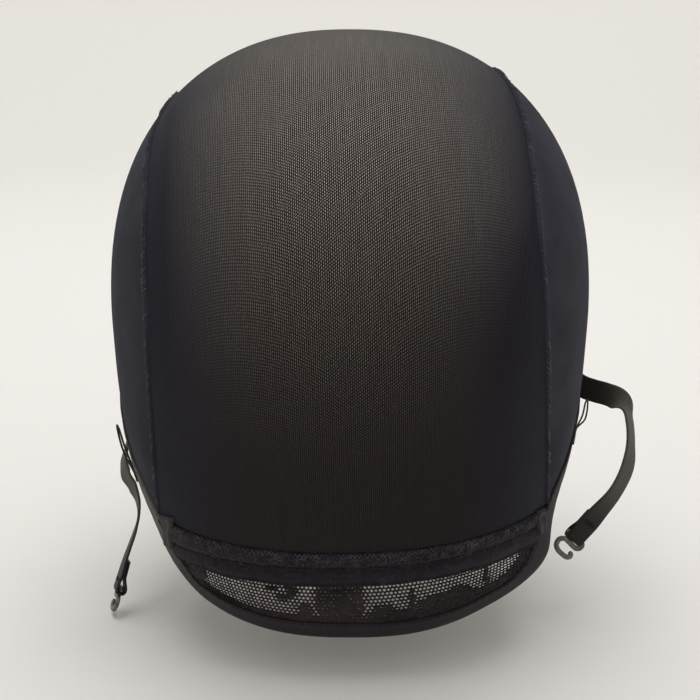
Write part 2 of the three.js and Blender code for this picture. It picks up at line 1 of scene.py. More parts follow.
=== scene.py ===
"""Lace wig cap: the fine surfaces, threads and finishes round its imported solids.

Shapes are worked out in millimetres about the centre of the worn form and turned to metres in the
part's own frame when a mesh is made. +Z is up, +Y the way the wearer faces, -X the left side.
"""

import logging
import math
from dataclasses import dataclass, field
from enum import Enum
from typing import Any, Callable

import bpy
import numpy as np
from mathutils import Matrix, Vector


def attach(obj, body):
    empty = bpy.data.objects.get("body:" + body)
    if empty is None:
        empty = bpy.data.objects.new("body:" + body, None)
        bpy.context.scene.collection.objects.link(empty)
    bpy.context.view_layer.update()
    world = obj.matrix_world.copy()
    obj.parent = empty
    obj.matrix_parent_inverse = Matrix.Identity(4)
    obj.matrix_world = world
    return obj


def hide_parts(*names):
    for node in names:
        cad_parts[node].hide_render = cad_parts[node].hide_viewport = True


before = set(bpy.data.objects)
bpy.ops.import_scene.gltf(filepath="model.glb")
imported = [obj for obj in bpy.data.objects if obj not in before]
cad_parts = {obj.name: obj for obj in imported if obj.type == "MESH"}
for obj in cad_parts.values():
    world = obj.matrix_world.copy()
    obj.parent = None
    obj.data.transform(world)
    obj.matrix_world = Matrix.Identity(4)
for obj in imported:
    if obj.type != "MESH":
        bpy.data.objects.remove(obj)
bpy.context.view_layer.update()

Array = np.ndarray
Material = bpy.types.Material
Node = bpy.types.Node
NodeTree = bpy.types.NodeTree
Piece = bpy.types.Object
Point = tuple[float, float, float]
Socket = bpy.types.NodeSocket
Span = tuple[float, float]

MM = 0.001
FORM_CENTRE = np.array([0.0, 0.0, -84.3])  # centre of the worn form, from the inside of the crown
GAP = 0.3  # clearance between sewn neighbours
HALVINGS = 44  # steps of a search, which leave an interval far below a nanometre
BODY = "root"
CLOTH_UV = "cloth_mm"
LOG = logging.getLogger("wig_cap")


class Side(Enum):
    """Side of the cap, with the sign of its X."""

    LEFT = -1
    RIGHT = 1

    @property
    def tag(self) -> str:
        """Lower-case name used in the names of pieces."""
        return self.name.lower()


def per_side(left: Any, right: Any) -> Any:
    """Dataclass field that holds one value for each side of the cap."""
    return field(default_factory=lambda: {Side.LEFT: left, Side.RIGHT: right})


def unit(v: Array) -> Array:
    """Vectors divided by their own length."""
    return v / np.linalg.norm(v, axis=-1, keepdims=True)


def lerp(a: Any, b: Any, t: Any) -> Any:
    """Straight mix of a and b by the share t."""
    return a + (b - a) * t


def ramp(t: Array, start: float, stop: float) -> Array:
    """Smooth step from 0 at start to 1 at stop: three s squared minus two s cubed, held at both ends."""
    s = np.clip((t - start) / (stop - start), 0.0, 1.0)
    return s * s * (3.0 - 2.0 * s)


def bump(t: Array, width: float) -> Array:
    """Bell curve of height 1: e to minus half of the square of t over width."""
    return np.exp(-0.5 * (t / width) ** 2)


def zigzag(t: Array, strokes: int) -> Array:
    """Straight strokes between -1 and 1, so many of them while t goes from 0 to 1."""
    return 2 * np.abs(np.mod(t * strokes, 2) - 1) - 1


def cubic(b: Array, c: Array, slope_in: Array, slope_out: Array, t: Array) -> Array:
    """Cubic in t from b at 0 to c at 1, with a slope given at each end."""
    third = 2 * b - 2 * c + slope_in + slope_out
    square = 3 * c - 3 * b - 2 * slope_in - slope_out
    return ((third * t + square) * t + slope_in) * t + b


def run_length(line: Array, axis: int) -> Array:
    """Length run along a grid's axis from its start, for mapping cloth in millimetres."""
    steps = np.linalg.norm(np.diff(line, axis=axis), axis=-1)
    lead = np.zeros_like(np.take(steps, [0], axis=axis))
    return np.concatenate([lead, np.cumsum(steps, axis=axis)], axis=axis)


def flat_size(across: Array, along: Array, stretch: float = 1.0) -> tuple[float, float]:
    """Cut of a sheet in metres: its longest run each way, divided by how far it is stretched."""
    return float(across.max()) / stretch * MM, float(along.max()) / stretch * MM


def between(grid: Array, row: Array, column: Array) -> Array:
    """Straight mix of the four grid points round fractional row and column numbers.

    Args:
        grid: points of shape (rows, columns, 3).
        row: row numbers with fractions.
        column: column numbers with fractions.

    Returns:
        One point for each pair of numbers.
    """
    r = np.clip(np.floor(row).astype(int), 0, grid.shape[0] - 2)
    c = np.clip(np.floor(column).astype(int), 0, grid.shape[1] - 2)
    u, v = (column - c)[..., None], (row - r)[..., None]
    return lerp(lerp(grid[r, c], grid[r, c + 1], u), lerp(grid[r + 1, c], grid[r + 1, c + 1], u), v)


def bisect(rising: Callable[[Array], Array], low: float, high: float) -> Array:
    """Arguments at which a rising function passes zero, by halving whole arrays of intervals.

    Args:
        rising: function of an array, below zero at low and above it at high.
        low: first end of every interval.
        high: other end of every interval.

    Returns:
        One argument for each interval.
    """
    for _ in range(HALVINGS):
        middle = np.asarray((low + high) / 2)
        below = rising(middle) < 0
        low, high = np.where(below, middle, low), np.where(below, high, middle)
    return (low + high) / 2


def smooth_rows(values: Array, spot: Array, wrap: bool) -> Array:
    """Cubic through evenly spaced table rows, with each row's slope taken from its neighbours.

    Args:
        values: the table's column.
        spot: row numbers with fractions.
        wrap: whether the last row is followed by the first.

    Returns:
        The column's value at each spot.
    """
    rows = len(values)
    first = np.floor(spot).astype(int)
    first = first if wrap else np.clip(first, 0, rows - 2)
    around = first[..., None] + np.arange(-1, 3)
    around = around % rows if wrap else np.clip(around, 0, rows - 1)
    a, b, c, d = np.moveaxis(values[around], -1, 0)
    return cubic(b, c, (c - a) / 2, (d - b) / 2, spot - first)


@dataclass(frozen=True)
class SmoothCurve:
    """Curve through points whose pace between two of them is the square root of their distance."""

    points: Array
    closed: bool = False
    nudge: float = 1e-4  # share either side of a place, for its direction
    no_pace: float = 1e-4  # a pace below this counts as none
    fine_steps: int = 2001
    last_share: float = 1 - 1e-9  # just before a closed curve starts again

    def at(self, share: Array) -> Array:
        """Points of the curve: a cubic between two of its points, with slopes from four of them.

        Args:
            share: places along the curve, from 0 to 1.

        Returns:
            One point for each share.
        """
        share = np.asarray(share, float)
        line, count = self.points, len(self.points)
        if self.closed:
            spot = np.mod(share, 1.0) * count
            first = np.floor(spot).astype(int)
            around = (first[..., None] + np.arange(-1, 3)) % count
        else:
            spot = share * (count - 1)
            first = np.clip(np.floor(spot).astype(int), 0, count - 2)
            around = first[..., None] + np.arange(4)
            line = np.concatenate([[2 * line[0] - line[1]], line, [2 * line[-1] - line[-2]]])
        a, b, c, d = np.moveaxis(line[around], -2, 0)
        p, q, r = (np.sqrt(np.linalg.norm(v, axis=-1, keepdims=True)) for v in (b - a, c - b, d - c))
        q = np.where(q < self.no_pace, 1.0, q)
        p, r = (np.where(pace < self.no_pace, q, pace) for pace in (p, r))
        slope_in = q * ((b - a) / p - (c - a) / (p + q) + (c - b) / q)
        slope_out = q * ((c - b) / q - (d - b) / (q + r) + (d - c) / r)
        return cubic(b, c, slope_in, slope_out, (spot - first)[..., None])

    def tangent(self, share: Array) -> Array:
        """Unit direction of the curve, from two points close by on either side.

        Args:
            share: places along the curve, from 0 to 1.

        Returns:
            One direction for each share.
        """
        before, after = np.asarray(share, float) - self.nudge, np.asarray(share, float) + self.nudge
        if not self.closed:
            before, after = np.maximum(before, 0), np.minimum(after, 1)
        return unit(self.at(after) - self.at(before))

    def even(self, count: int) -> Array:
        """Shares that cut the curve into equal lengths; a closed curve leaves out its last one."""
        fine = np.linspace(0.0, 1.0, self.fine_steps)
        run = run_length(self.at(np.minimum(fine, self.last_share)), 0)
        return np.interp(np.linspace(0.0, run[-1], count, endpoint=not self.closed), run, fine)


@dataclass(frozen=True)
class WornForm:
    """Shape of the worn cap: |x / half width| and radius / profile, both to one power, add up to 1."""

    half_width: float = 79.0
    roundness: float = 2.29
    step: float = 30.0  # degrees between two rows of the profile
    radii: tuple[float, ...] = (96, 95, 88.8, 85.3, 89.3, 96, 98.5, 99.5, 119, 140, 124, 105)
    back_span: Span = (268.0, 150.0)  # angles between which a height on the back is searched
    nudge: float = 0.01  # half the distance over which a slope is taken

    def radius(self, angle: Array) -> Array:
        """Radius in the middle plane: 0 degrees is the forehead, 90 the crown, 180 the back."""
        return smooth_rows(np.array(self.radii), np.mod(angle, 360.0) / self.step, True)

    def level(self, y: Array, z: Array) -> Array:
        """Distance from the sideways axis as a share of the profile's radius there."""
        return np.hypot(y, z) / self.radius(np.degrees(np.arctan2(z, y)))

    def rest(self, share: Array) -> Array:
        """The other share on the form: one minus the share's power, to the inverse of that power."""
        return (1 - np.abs(share) ** self.roundness) ** (1 / self.roundness)

    def power(self, p: Array) -> Array:
        """The sum of both powers, which is 1 on the form and less inside it."""
        x, y, z = np.moveaxis(p, -1, 0)
        return np.abs(x / self.half_width) ** self.roundness + self.level(y, z) ** self.roundness

    def project(self, p: Array) -> Array:
        """Points moved straight from the centre onto the form."""
        return p * self.power(p)[..., None] ** (-1 / self.roundness)

    def normal(self, p: Array) -> Array:
        """Outward unit normals: the slope of the sum of powers along X, Y and Z."""
        return unit(np.stack([self.power(p + d) - self.power(p - d) for d in self.nudge * np.eye(3)], -1))

    def at(self, x: Array, angle: Array) -> Array:
        """Points of the form at a place across it and an angle in the middle plane."""
        reach, turn = self.rest(x / self.half_width) * self.radius(angle), np.radians(angle)
        return np.stack([x + 0 * reach, reach * np.cos(turn), reach * np.sin(turn)], -1)

    def back(self, x: Array, height: Array) -> Array:
        """Points on the back of the form at a place across it and a height."""
        x, height = np.broadcast_arrays(np.asarray(x, float), np.asarray(height, float))
        return self.at(x, bisect(lambda angle: self.at(x, angle)[..., 2] - height, *self.back_span))

    def beside(self, side: Side, y: Array, z: Array) -> Array:
        """Points on one side of the form at a depth y and a height z."""
        return np.stack([side.value * self.half_width * self.rest(self.level(y, z)), y, z], -1)

    def heading(self, heading: Array, height: Array) -> Array:
        """Points at a heading round the form, 0 in front and 180 behind, and a height.

        Args:
            heading: angles in degrees round the upright axis.
            height: heights, one for each.

        Returns:
            One point for each pair.
        """
        turn = np.radians(heading)

        def at(reach: Array) -> Array:
            """Points at a distance from the upright axis."""
            return np.stack([reach * np.sin(turn), reach * np.cos(turn), height], -1)

        return at(bisect(lambda reach: self.power(at(reach)) - 1, 0.0, 2 * self.half_width))


def side_angle(p: Array) -> Array:
    """Angle of points in the middle plane, from -60 at the front to 300 behind."""
    angle = np.degrees(np.arctan2(p[..., 2], p[..., 1]))
    return np.where(angle < -60, angle + 360, angle)


@dataclass
class CapPattern:
    """Lines of the worn cap that its pieces share: seams, rim, binding edge and nape band."""

    form: WornForm = field(default_factory=WornForm)
    seams: dict[Side, tuple[float, ...]] = per_side(
        (-54, -56, -56.5, -57, -61.4, -60.6, -59.6, -60, -60.3),
        (47, 47.5, 47.2, 47.4, 51.8, 54.3, 57.4, 60.1, 62.3))  # place across, one for each profile row
    rim_heading: tuple[float, ...] = (
        0, 22, 40, 53, 60, 66, 72, 79, 86, 94, 103, 113, 118.5, 121.5, 122.5, 126, 131, 141, 154, 168, 180)
    rim_height: tuple[float, ...] = (
        23, 19.5, 7, -14, -34, -47, -53, -50.5, -45.5, -43.5, -47.5, -57.5, -65.5, -74, -81, -88.3, -93.8,
        -98, -100.8, -101.9, -102)
    rim_width: tuple[float, ...] = (9,) * 12 + (11, 12, 12, 10.5) + (9,) * 5
    searched: Point = (60.0, 122.5, 113.0)  # rim headings that bound the seams' front and back ends
    corner_heading: float = 122.5
    corner_height: float = -85.0
    corner_radius: float = 11.0
    flare: dict[Side, float] = per_side(0.4, 6.0)  # how far each nape corner stands out sideways
    band_top_centre: float = -67.0
    band_bottom_rows: Point = (-78.3, -78.6, -74.2)

    def __post_init__(self) -> None:
        """Works out the rim's loop, the nape corners and where seams and band meet the binding."""
        heading, height, self.widths = (
            np.concatenate([row, sign * np.array(row[-2:0:-1], float)])
            for row, sign in ((self.rim_heading, -1), (self.rim_height, 1), (self.rim_width, 1)))
        self.rim = SmoothCurve(self.form.heading(heading, height), closed=True)
        turns = np.array([side.value for side in Side]) * self.corner_heading
        self.corners = self.form.heading(turns, np.full(len(turns), self.corner_height))
        front, low, high = (self._share_of(heading) for heading in self.searched)
        self.front_end = {side: self._seam_end(side, 0.0, front) for side in Side}
        self.back_end = {side: self._seam_end(side, low, high) for side in Side}
        self.nape_end = {side: self.tape_line(self.back_end[side], GAP) for side in Side}
        self.low_end = {side: self._band_end(side) for side in Side}

    def _share_of(self, heading: float) -> float:
        """Share of the rim's loop at the first row of its table at or past a heading."""
        return float(np.argmax(np.array(self.rim_heading) >= heading)) / len(self.widths)

    def _seam_end(self, side: Side, low: float, high: float) -> float:
        """Share of the rim where a seam, moved out by the gap, meets the binding.

        Args:
            side: side of the seam.
            low: share of the rim where the search starts.
            high: share where it ends.

        Returns:
            The share, with the sign of the side.
        """
        def clear(share: Array) -> Array:
            """How far the binding's edge lies outside the seam."""
            p = self.tape_line(side.value * share, GAP)
            return side.value * (p[..., 0] - self.seam(side, side_angle(p))) - GAP

        return side.value * float(bisect(clear, low, high))

    def _band_end(self, side: Side) -> float:
        """Share of the rim where the binding crosses the lower edge of the band.

        Args:
            side: side of the crossing.

        Returns:
            The share, with the sign of the side.
        """
        def above(share: Array) -> Array:
            """Height of the binding's edge over the band's lower edge."""
            p = self.tape_line(side.value * share, GAP)
            return p[..., 2] - self.band_bottom(p[..., 0])

        return side.value * float(bisect(above, 0.5, abs(self.back_end[side])))

    def seam(self, side: Side, angle: Array) -> Array:
        """Place across the cap of one seam of the crown panel."""
        return smooth_rows(np.array(self.seams[side], float), np.asarray(angle) / self.form.step, False)

    def seam_share(self, p: Array) -> Array:
        """Share of the way across the crown panel, 0 at the left seam and 1 at the right."""
        left, right = (self.seam(side, side_angle(p)) for side in Side)
        return (p[..., 0] - left) / (right - left)

    def rim_frame(self, share: Array) -> tuple[Array, Array, Array]:
        """Rim points, directions across the cloth away from the rim, and the binding's widths.

        Args:
            share: places round the rim.

        Returns:
            Three arrays, with one entry for each share.
        """
        share = np.asarray(share, float)
        edge = self.form.project(self.rim.at(share))
        inward = unit(np.cross(self.rim.tangent(share), self.form.normal(edge)))
        rows = len(self.widths)
        spot = np.mod(share, 1.0) * rows
        row = np.floor(spot).astype(int)
        return edge, inward, lerp(self.widths[row % rows], self.widths[(row + 1) % rows], spot - row)

    def across_tape(self, share: Array, mm: Array) -> Array:
        """Points of the form that lie a distance in from the rim."""
        edge, inward, _ = self.rim_frame(share)
        return self.form.project(edge + inward * np.asarray(mm, float)[..., None])

    def tape_line(self, share: Array, extra: float) -> Array:
        """The binding's inner edge, moved further in by extra."""
        edge, inward, width = self.rim_frame(share)
        return self.form.project(edge + inward * (width + extra)[..., None])

    def _bowed(self, x: Array, left: float, centre: float, right: float) -> Array:
        """Height of a bowed line across the nape: centre plus rise times t squared plus tilt times t."""
        start, stop = (self.nape_end[side][0] for side in Side)
        t = (x - (start + stop) / 2) / ((stop - start) / 2)
        return centre + ((left + right) / 2 - centre) * t * t + (right - left) / 2 * t

    def band_top(self, x: Array) -> Array:
        """Height of the nape band's upper edge."""
        left, right = (self.nape_end[side][2] for side in Side)
        return self._bowed(x, left, self.band_top_centre, right)

    def band_bottom(self, x: Array) -> Array:
        """Height of the nape band's lower edge."""
        return self._bowed(x, *self.band_bottom_rows)

    def place(self, p: Array, lift: Any) -> Array:
        """Points lifted along the form's normal, with the nape corners pushed out sideways.

        Args:
            p: points on the form.
            lift: millimetres, one number or one for each point.

        Returns:
            The placed points.
        """
        out = p + self.form.normal(p) * np.broadcast_to(np.asarray(lift, float), p.shape[:-1])[..., None]
        for side, corner in zip(Side, self.corners):
            near = bump(np.linalg.norm(p - corner, axis=-1), self.corner_radius)
            out[..., 0] += side.value * self.flare[side] * near
        return out

    def faces(self, grid: Array, lift: Any, under: Any) -> Array:
        """Outer and inner face of a sheet: one grid of form points placed at two lifts."""
        return np.stack([self.place(grid, lift), self.place(grid, under)])


def outward(points: Array, quads: Array) -> Array:
    """Faces turned outwards: all are reversed if the volume that they enclose is negative."""
    a, b, c, d = (points[quads[:, k]] for k in range(4))
    volume = np.einsum("ij,ij->i", a, np.cross(b, c)) + np.einsum("ij,ij->i", a, np.cross(c, d))
    return quads[:, ::-1] if volume.sum() < 0 else quads


def make_piece(name: str, points: Array, quads: Array, finish: Material, uv: Array | None = None,
               values: dict[str, Any] | None = None, crease: float = 50.0) -> Piece:
    """Puts arrays of points and four-sided faces into a mesh object at the origin.

    Args:
        name: name of the piece.
        points: millimetres about the centre of the form, in any grid of shape (..., 3).
        quads: faces as rows of four point numbers.
        finish: material of the piece.
        uv: place of each point on its cloth in millimetres, taken again for a sheet's inner face.
        values: named numbers that the material reads, one for each point, taken again likewise.
        crease: angle in degrees above which an edge is shaded sharp.

    Returns:
        The linked object.
    """
    points = points.reshape(-1, 3)
    quads = outward(points, quads)
    mesh = bpy.data.meshes.new(name)
    mesh.from_pydata(((points + FORM_CENTRE) * MM).tolist(), [], quads.tolist())
    if uv is not None:
        corners = np.resize(uv, (len(points), 2))[quads.ravel()].astype(np.float32)
        mesh.uv_layers.new(name=CLOTH_UV).data.foreach_set("uv", corners.ravel())
    for key, column in (values or {}).items():
        column = np.resize(column, len(points)).astype(np.float32)
        mesh.attributes.new(key, "FLOAT", "POINT").data.foreach_set("value", column)
    mesh.shade_smooth()
    mesh.set_sharp_from_angle(angle=math.radians(crease))
    mesh.materials.append(finish)
    piece = bpy.data.objects.new(name, mesh)
    bpy.context.scene.collection.objects.link(piece)
    return piece


def enlist(piece: Piece, slot: str, *nodes: str) -> Piece:
    """Lets a piece ride on the cap's body and hides the solids it stands for.

    Args:
        piece: the piece.
        slot: not used.
        nodes: solids that it replaces.

    Returns:
        The same piece.
    """
    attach(piece, BODY)
    if nodes:
        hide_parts(*nodes)
    LOG.info("%s: %d faces", piece.name, len(piece.data.polygons))
    return piece


def sheet_quads(rows: int, columns: int) -> Array:
    """Faces of a closed sheet: an outer grid, an inner grid numbered after it, and their rim.

    Args:
        rows: rows of points in each grid.
        columns: columns of points in each grid.

    Returns:
        Faces as rows of four point numbers.
    """
    number = np.arange(rows * columns).reshape(rows, columns)
    outer = np.stack([number[:-1, :-1], number[:-1, 1:], number[1:, 1:], number[1:, :-1]], -1).reshape(-1, 4)
    rim = np.concatenate([number[0, :-1], number[:-1, -1], number[-1, :0:-1], number[:0:-1, 0]])
    after = np.roll(rim, -1)
    walls = np.stack([after, rim, rim + number.size, after + number.size], -1)
    return np.concatenate([outer, outer[:, ::-1] + number.size, walls])


def carried_quads(rings: int, sides: int, closed: bool = False) -> Array:
    """Faces of a section carried along a path: bands between rings, and caps of strips at open ends.

    Args:
        rings: rings of points along the path.
        sides: points in each ring, an even number.
        closed: whether the path is a loop.

    Returns:
        Faces as rows of four point numbers.
    """
    number = np.arange(rings * sides).reshape(rings, sides)
    first, second = (number, np.roll(number, -1, 0)) if closed else (number[:-1], number[1:])
    bands = np.stack([first, np.roll(first, -1, 1), np.roll(second, -1, 1), second], -1).reshape(-1, 4)
    if closed:
        return bands
    k = np.arange(sides // 2 - 1)
    cap = np.stack([k, k + 1, sides - 2 - k, sides - 1 - k], -1)
    return np.concatenate([bands, cap[:, ::-1], cap + (rings - 1) * sides])


def net_quads(cells: Array, shut: Array, knots: int) -> Array:
    """Faces of a net: a ring round each hole or a patch, the same behind, hole walls and a border.

    Args:
        cells: the six knots round each cell.
        shut: whether each cell is filled.
        knots: number of knots; hole corners are numbered after them, and the back after both.

    Returns:
        Faces as rows of four point numbers.
    """
    ring, solid = cells[~shut], cells[shut]
    hole = knots + np.arange(ring.size).reshape(ring.shape)
    back = knots + ring.size
    ring_next, hole_next = np.roll(ring, -1, 1), np.roll(hole, -1, 1)
    face = np.stack([ring, ring_next, hole_next, hole], -1).reshape(-1, 4)
    wall = np.stack([hole, hole_next, hole_next + back, hole + back], -1).reshape(-1, 4)
    front = np.concatenate([face, solid[:, [0, 1, 2, 3]], solid[:, [0, 3, 4, 5]]])
    edge = np.stack([cells, np.roll(cells, -1, 1)], -1).reshape(-1, 2)
    _, which, uses = np.unique(np.sort(edge, axis=1), axis=0, return_inverse=True, return_counts=True)
    rim = edge[uses[which.ravel()] == 1]
    border = np.stack([rim[:, 1], rim[:, 0], rim[:, 0] + back, rim[:, 1] + back], -1)
    return np.concatenate([front, front[:, ::-1] + back, wall, border])


def thread_bundle(paths: Array, radius: Any, sides: int = 4, tip: float = 0.35) -> tuple[Array, Array]:
    """Many thin threads at once: a small polygon carried along each path, thinner at both ends.

    Args:
        paths: points of shape (threads, steps, 3).
        radius: thread radius in millimetres, one number or one for each thread.
        sides: sides of the polygon.
        tip: share of the radius that is left at both ends.

    Returns:
        Points of all threads and their faces.
    """
    threads, steps, _ = paths.shape
    along = unit(np.gradient(paths, axis=1) + 1e-9)
    aside = np.array([0.013, 0.007, 0.011])  # keeps a thread that points straight out from having no side
    across = unit(np.cross(along, unit(paths) + aside))
    upward = np.cross(across, along)
    turn = 2 * np.pi * (np.arange(sides) + 0.5) / sides
    thin = np.ones(steps)
    thin[[0, -1]] = tip
    reach = np.broadcast_to(np.asarray(radius, float), (threads,))[:, None] * thin
    ring = np.cos(turn)[:, None] * across[:, :, None] + np.sin(turn)[:, None] * upward[:, :, None]
    points = paths[:, :, None] + reach[:, :, None, None] * ring
    quads = carried_quads(steps, sides)[None] + (np.arange(threads) * steps * sides)[:, None, None]
    return points.reshape(-1, 3), quads.reshape(-1, 4)


def sew(name: str, slot: str, finish: Material, *groups: tuple[Array, Any]) -> Piece:
    """Joins groups of threads into one piece.

    Args:
        name: name of the piece.
        slot: its material slot.
        finish: material of the thread.
        groups: paths of the threads and their radius, one number or one for each thread.

    Returns:
        The joined threads.
    """
    bundles = [thread_bundle(paths, radius) for paths, radius in groups]
    starts = np.cumsum([0] + [len(points) for points, _ in bundles])
    quads = np.concatenate([faces + start for (_, faces), start in zip(bundles, starts)])
    return enlist(make_piece(name, np.concatenate([points for points, _ in bundles]), quads, finish), slot)


def fibres(rng: np.random.Generator, roots: Array, normals: Array, length: float) -> Array:
    """Paths of loose lint: each fibre lies along the cloth, then curls up and over.

    Args:
        rng: seeded source of the random draws.
        roots: points where the fibres start.
        normals: outward normals there.
        length: mean length in millimetres.

    Returns:
        Paths of five points each.
    """
    lay = unit(np.cross(normals, rng.normal(size=normals.shape)))
    curl = unit(np.cross(lay, normals))
    t = np.linspace(0.0, 1.0, 5)[None, :, None]
    reach, rise, bend = ((length * rng.uniform(low, high, len(roots)))[:, None, None]
                         for low, high in ((0.5, 1.5), (0.05, 0.35), (-0.5, 0.5)))
    return (roots[:, None] + lay[:, None] * reach * t + normals[:, None] * rise * np.sin(np.pi * t)
            + curl[:, None] * bend * t * t)


def linear(hexa: str) -> tuple[float, float, float, float]:
    """Linear colour, with alpha 1, of an sRGB hex value such as "2a2b30"."""
    shares = [int(hexa[k:k + 2], 16) / 255 for k in (0, 2, 4)]
    red, green, blue = (c / 12.92 if c <= 0.04045 else ((c + 0.055) / 1.055) ** 2.4 for c in shares)
    return red, green, blue, 1.0


def add_node(tree: NodeTree, kind: str, inputs: dict[Any, Any] | None = None, **settings: Any) -> Node:
    """Adds a node, sets its properties, and links or sets each of its inputs.

    Args:
        tree: node tree of the material.
        kind: node's type, without its ShaderNode prefix.
        inputs: socket name or number to a value to set, a socket to link from, or a node, which
            is linked from its first output.
        settings: node properties.

    Returns:
        The new node.
    """
    node = tree.nodes.new("ShaderNode" + kind)
    for key, value in settings.items():
        setattr(node, key, value)
    for key, value in (inputs or {}).items():
        source = value.outputs[0] if isinstance(value, Node) else value
        if isinstance(source, Socket):
            tree.links.new(source, node.inputs[key])
        else:
            node.inputs[key].default_value = source
    return node


@dataclass(frozen=True)
class Finish:
    """Common part of every finish: one Principled shader, colours laid over a base, and a relief."""

    name: str = "finish"
    base: str = "808080"
    roughness: float = 0.8
    sheen: float = 0.0
    sheen_roughness: float = 0.5
    sheen_tint: str = "ffffff"
    specular: float = 0.3
    depth_mm: float = 0.08

    def pattern(self, tree: NodeTree) -> tuple[list[tuple[Any, str]], Node | None]:
        """Colours laid over the base in order, each with its share, and the relief's height or none."""
        raise NotImplementedError

    def material(self) -> Material:
        """Makes the material: constants on the shader's own sockets, then its colour and its bump.

        Returns:
            The new material.
        """
        material = bpy.data.materials.new(self.name)
        material.use_nodes = True
        tree = material.node_tree
        shader = tree.nodes["Principled BSDF"]
        for socket, value in (
                ("Roughness", self.roughness), ("Specular IOR Level", self.specular),
                ("Sheen Weight", self.sheen), ("Sheen Roughness", self.sheen_roughness),
                ("Sheen Tint", linear(self.sheen_tint))):
            shader.inputs[socket].default_value = value
        layers, height = self.pattern(tree)
        colour: Any = linear(self.base)
        for share, over in layers:
            mixed = add_node(tree, "Mix", {0: share, 6: colour, 7: linear(over)}, data_type="RGBA")
            colour = mixed.outputs[2]
        tree.links.new(colour, shader.inputs["Base Color"])
        if height is not None:
            relief = add_node(tree, "Bump", {"Height": height, "Strength": 1.0,
                                             "Distance": self.depth_mm * MM})
            tree.links.new(relief.outputs["Normal"], shader.inputs["Normal"])
        return material


@dataclass(frozen=True)
class PowerMesh(Finish):
    """Nylon power mesh, warp knitted: slanting columns of pale pinholes in dull black yarn.

    The holes open where the panel is stretched over the back, so the eye sees warm taupe dots
    there, and close to a plain bluish black towards the seams and the nape. Real holes of a third
    of a millimetre are drawn about twice as large and as far apart, so that they show. Where they
    would still be too fine, their mean colour takes their place.
    """

    name: str = "power_mesh_knitted_nylon"
    base: str = "1b1922"
    roughness: float = 0.85
    sheen: float = 0.1
    sheen_roughness: float = 0.45
    sheen_tint: str = "c6cad6"
    specular: float = 0.08
    yarn: str = "1e1918"
    hole: str = "d6cec4"
    # painted shade: a near black laid along both seams, where the panel tucks under its neighbours
    shadow: str = "060508"
    column_mm: float = 1.2
    row_mm: float = 0.98
    wale_share: float = 1.5  # weight of the columns
    twill_share: float = 0.72  # weight of one slant, the rest going to the other
    dot_top: float = 2.3  # sum of the three waves at which a hole is fully open
    sway_mm: float = 3.0  # length over which the columns wander
    sway: Point = (0.2, 0.6, 0.0)  # how far they wander, in millimetres
    uneven: tuple[tuple[Point, float, float], ...] = (  # noise scales, with the least and most openness
        ((1.0, 0.04, 1.0), 0.82, 1.08),  # long streaks down the columns
        ((1.5, 1.0, 1.0), 0.72, 1.2))  # single holes
    blended: float = 0.23  # mean share of holes, where they are not drawn one by one

    def pattern(self, tree: NodeTree) -> tuple[list[tuple[Any, str]], Node | None]:
        """Holes are where a sum of three cosines is above zero: one of twice the angle across, for the
        columns, and one each of the sum and the difference of both angles, for the two slants.

        Args:
            tree: node tree of the material.

        Returns:
            The layers of colour, and a height that is low in the holes.
        """
        place = add_node(tree, "UVMap", uv_map=CLOTH_UV)
        opened, blend, middle, crease = (
            add_node(tree, "Attribute", attribute_name=name).outputs["Fac"]
            for name in ("openness", "blend", "middle", "crease"))
        sway = add_node(tree, "TexNoise", {"Vector": place, "Scale": 1 / self.sway_mm, "Detail": 1.0})
        centred = add_node(tree, "VectorMath", {0: sway.outputs["Color"], 1: (0.5, 0.5, 0.5)},
                           operation="SUBTRACT")
        swayed = add_node(tree, "VectorMath", {0: centred, 1: self.sway, 2: place}, operation="MULTIPLY_ADD")
        axes = add_node(tree, "SeparateXYZ", {0: swayed})
        across, down = (
            add_node(tree, "Math", {0: axes.outputs[axis], 1: 2 * math.pi / pitch}, operation="MULTIPLY")
            for axis, pitch in enumerate((self.column_mm, self.row_mm)))
        knit: Any = 0.0
        for operation, other, weight in (("ADD", across, self.wale_share), ("ADD", down, self.twill_share),
                                         ("SUBTRACT", down, 1 - self.twill_share)):
            phase = add_node(tree, "Math", {0: across, 1: other}, operation=operation)
            wave = add_node(tree, "Math", {0: phase}, operation="COSINE")
            knit = add_node(tree, "Math", {0: wave, 1: weight, 2: knit}, operation="MULTIPLY_ADD")
        dots = add_node(tree, "MapRange", {"Value": knit, "From Max": self.dot_top},
                        interpolation_type="SMOOTHSTEP")
        share: Any = add_node(tree, "Mix", {0: blend, 2: dots, 3: self.blended})
        for scale, least, most in self.uneven:
            scaled = add_node(tree, "Mapping", {"Vector": place, "Scale": scale})
            noise = add_node(tree, "TexNoise", {"Vector": scaled, "Scale": 1.0, "Detail": 2.0})
            spread = add_node(tree, "MapRange", {"Value": noise, "From Min": 0.3, "From Max": 0.7,
                                                 "To Min": least, "To Max": most})
            opened = add_node(tree, "Math", {0: opened, 1: spread}, operation="MULTIPLY")
        share = add_node(tree, "Math", {0: share, 1: opened}, operation="MULTIPLY")
        raised = add_node(tree, "Math", {0: 1.0, 1: dots}, operation="SUBTRACT")
        # the last layer is painted shade along both seams
        return [(middle, self.yarn), (share, self.hole), (crease, self.shadow)], raised


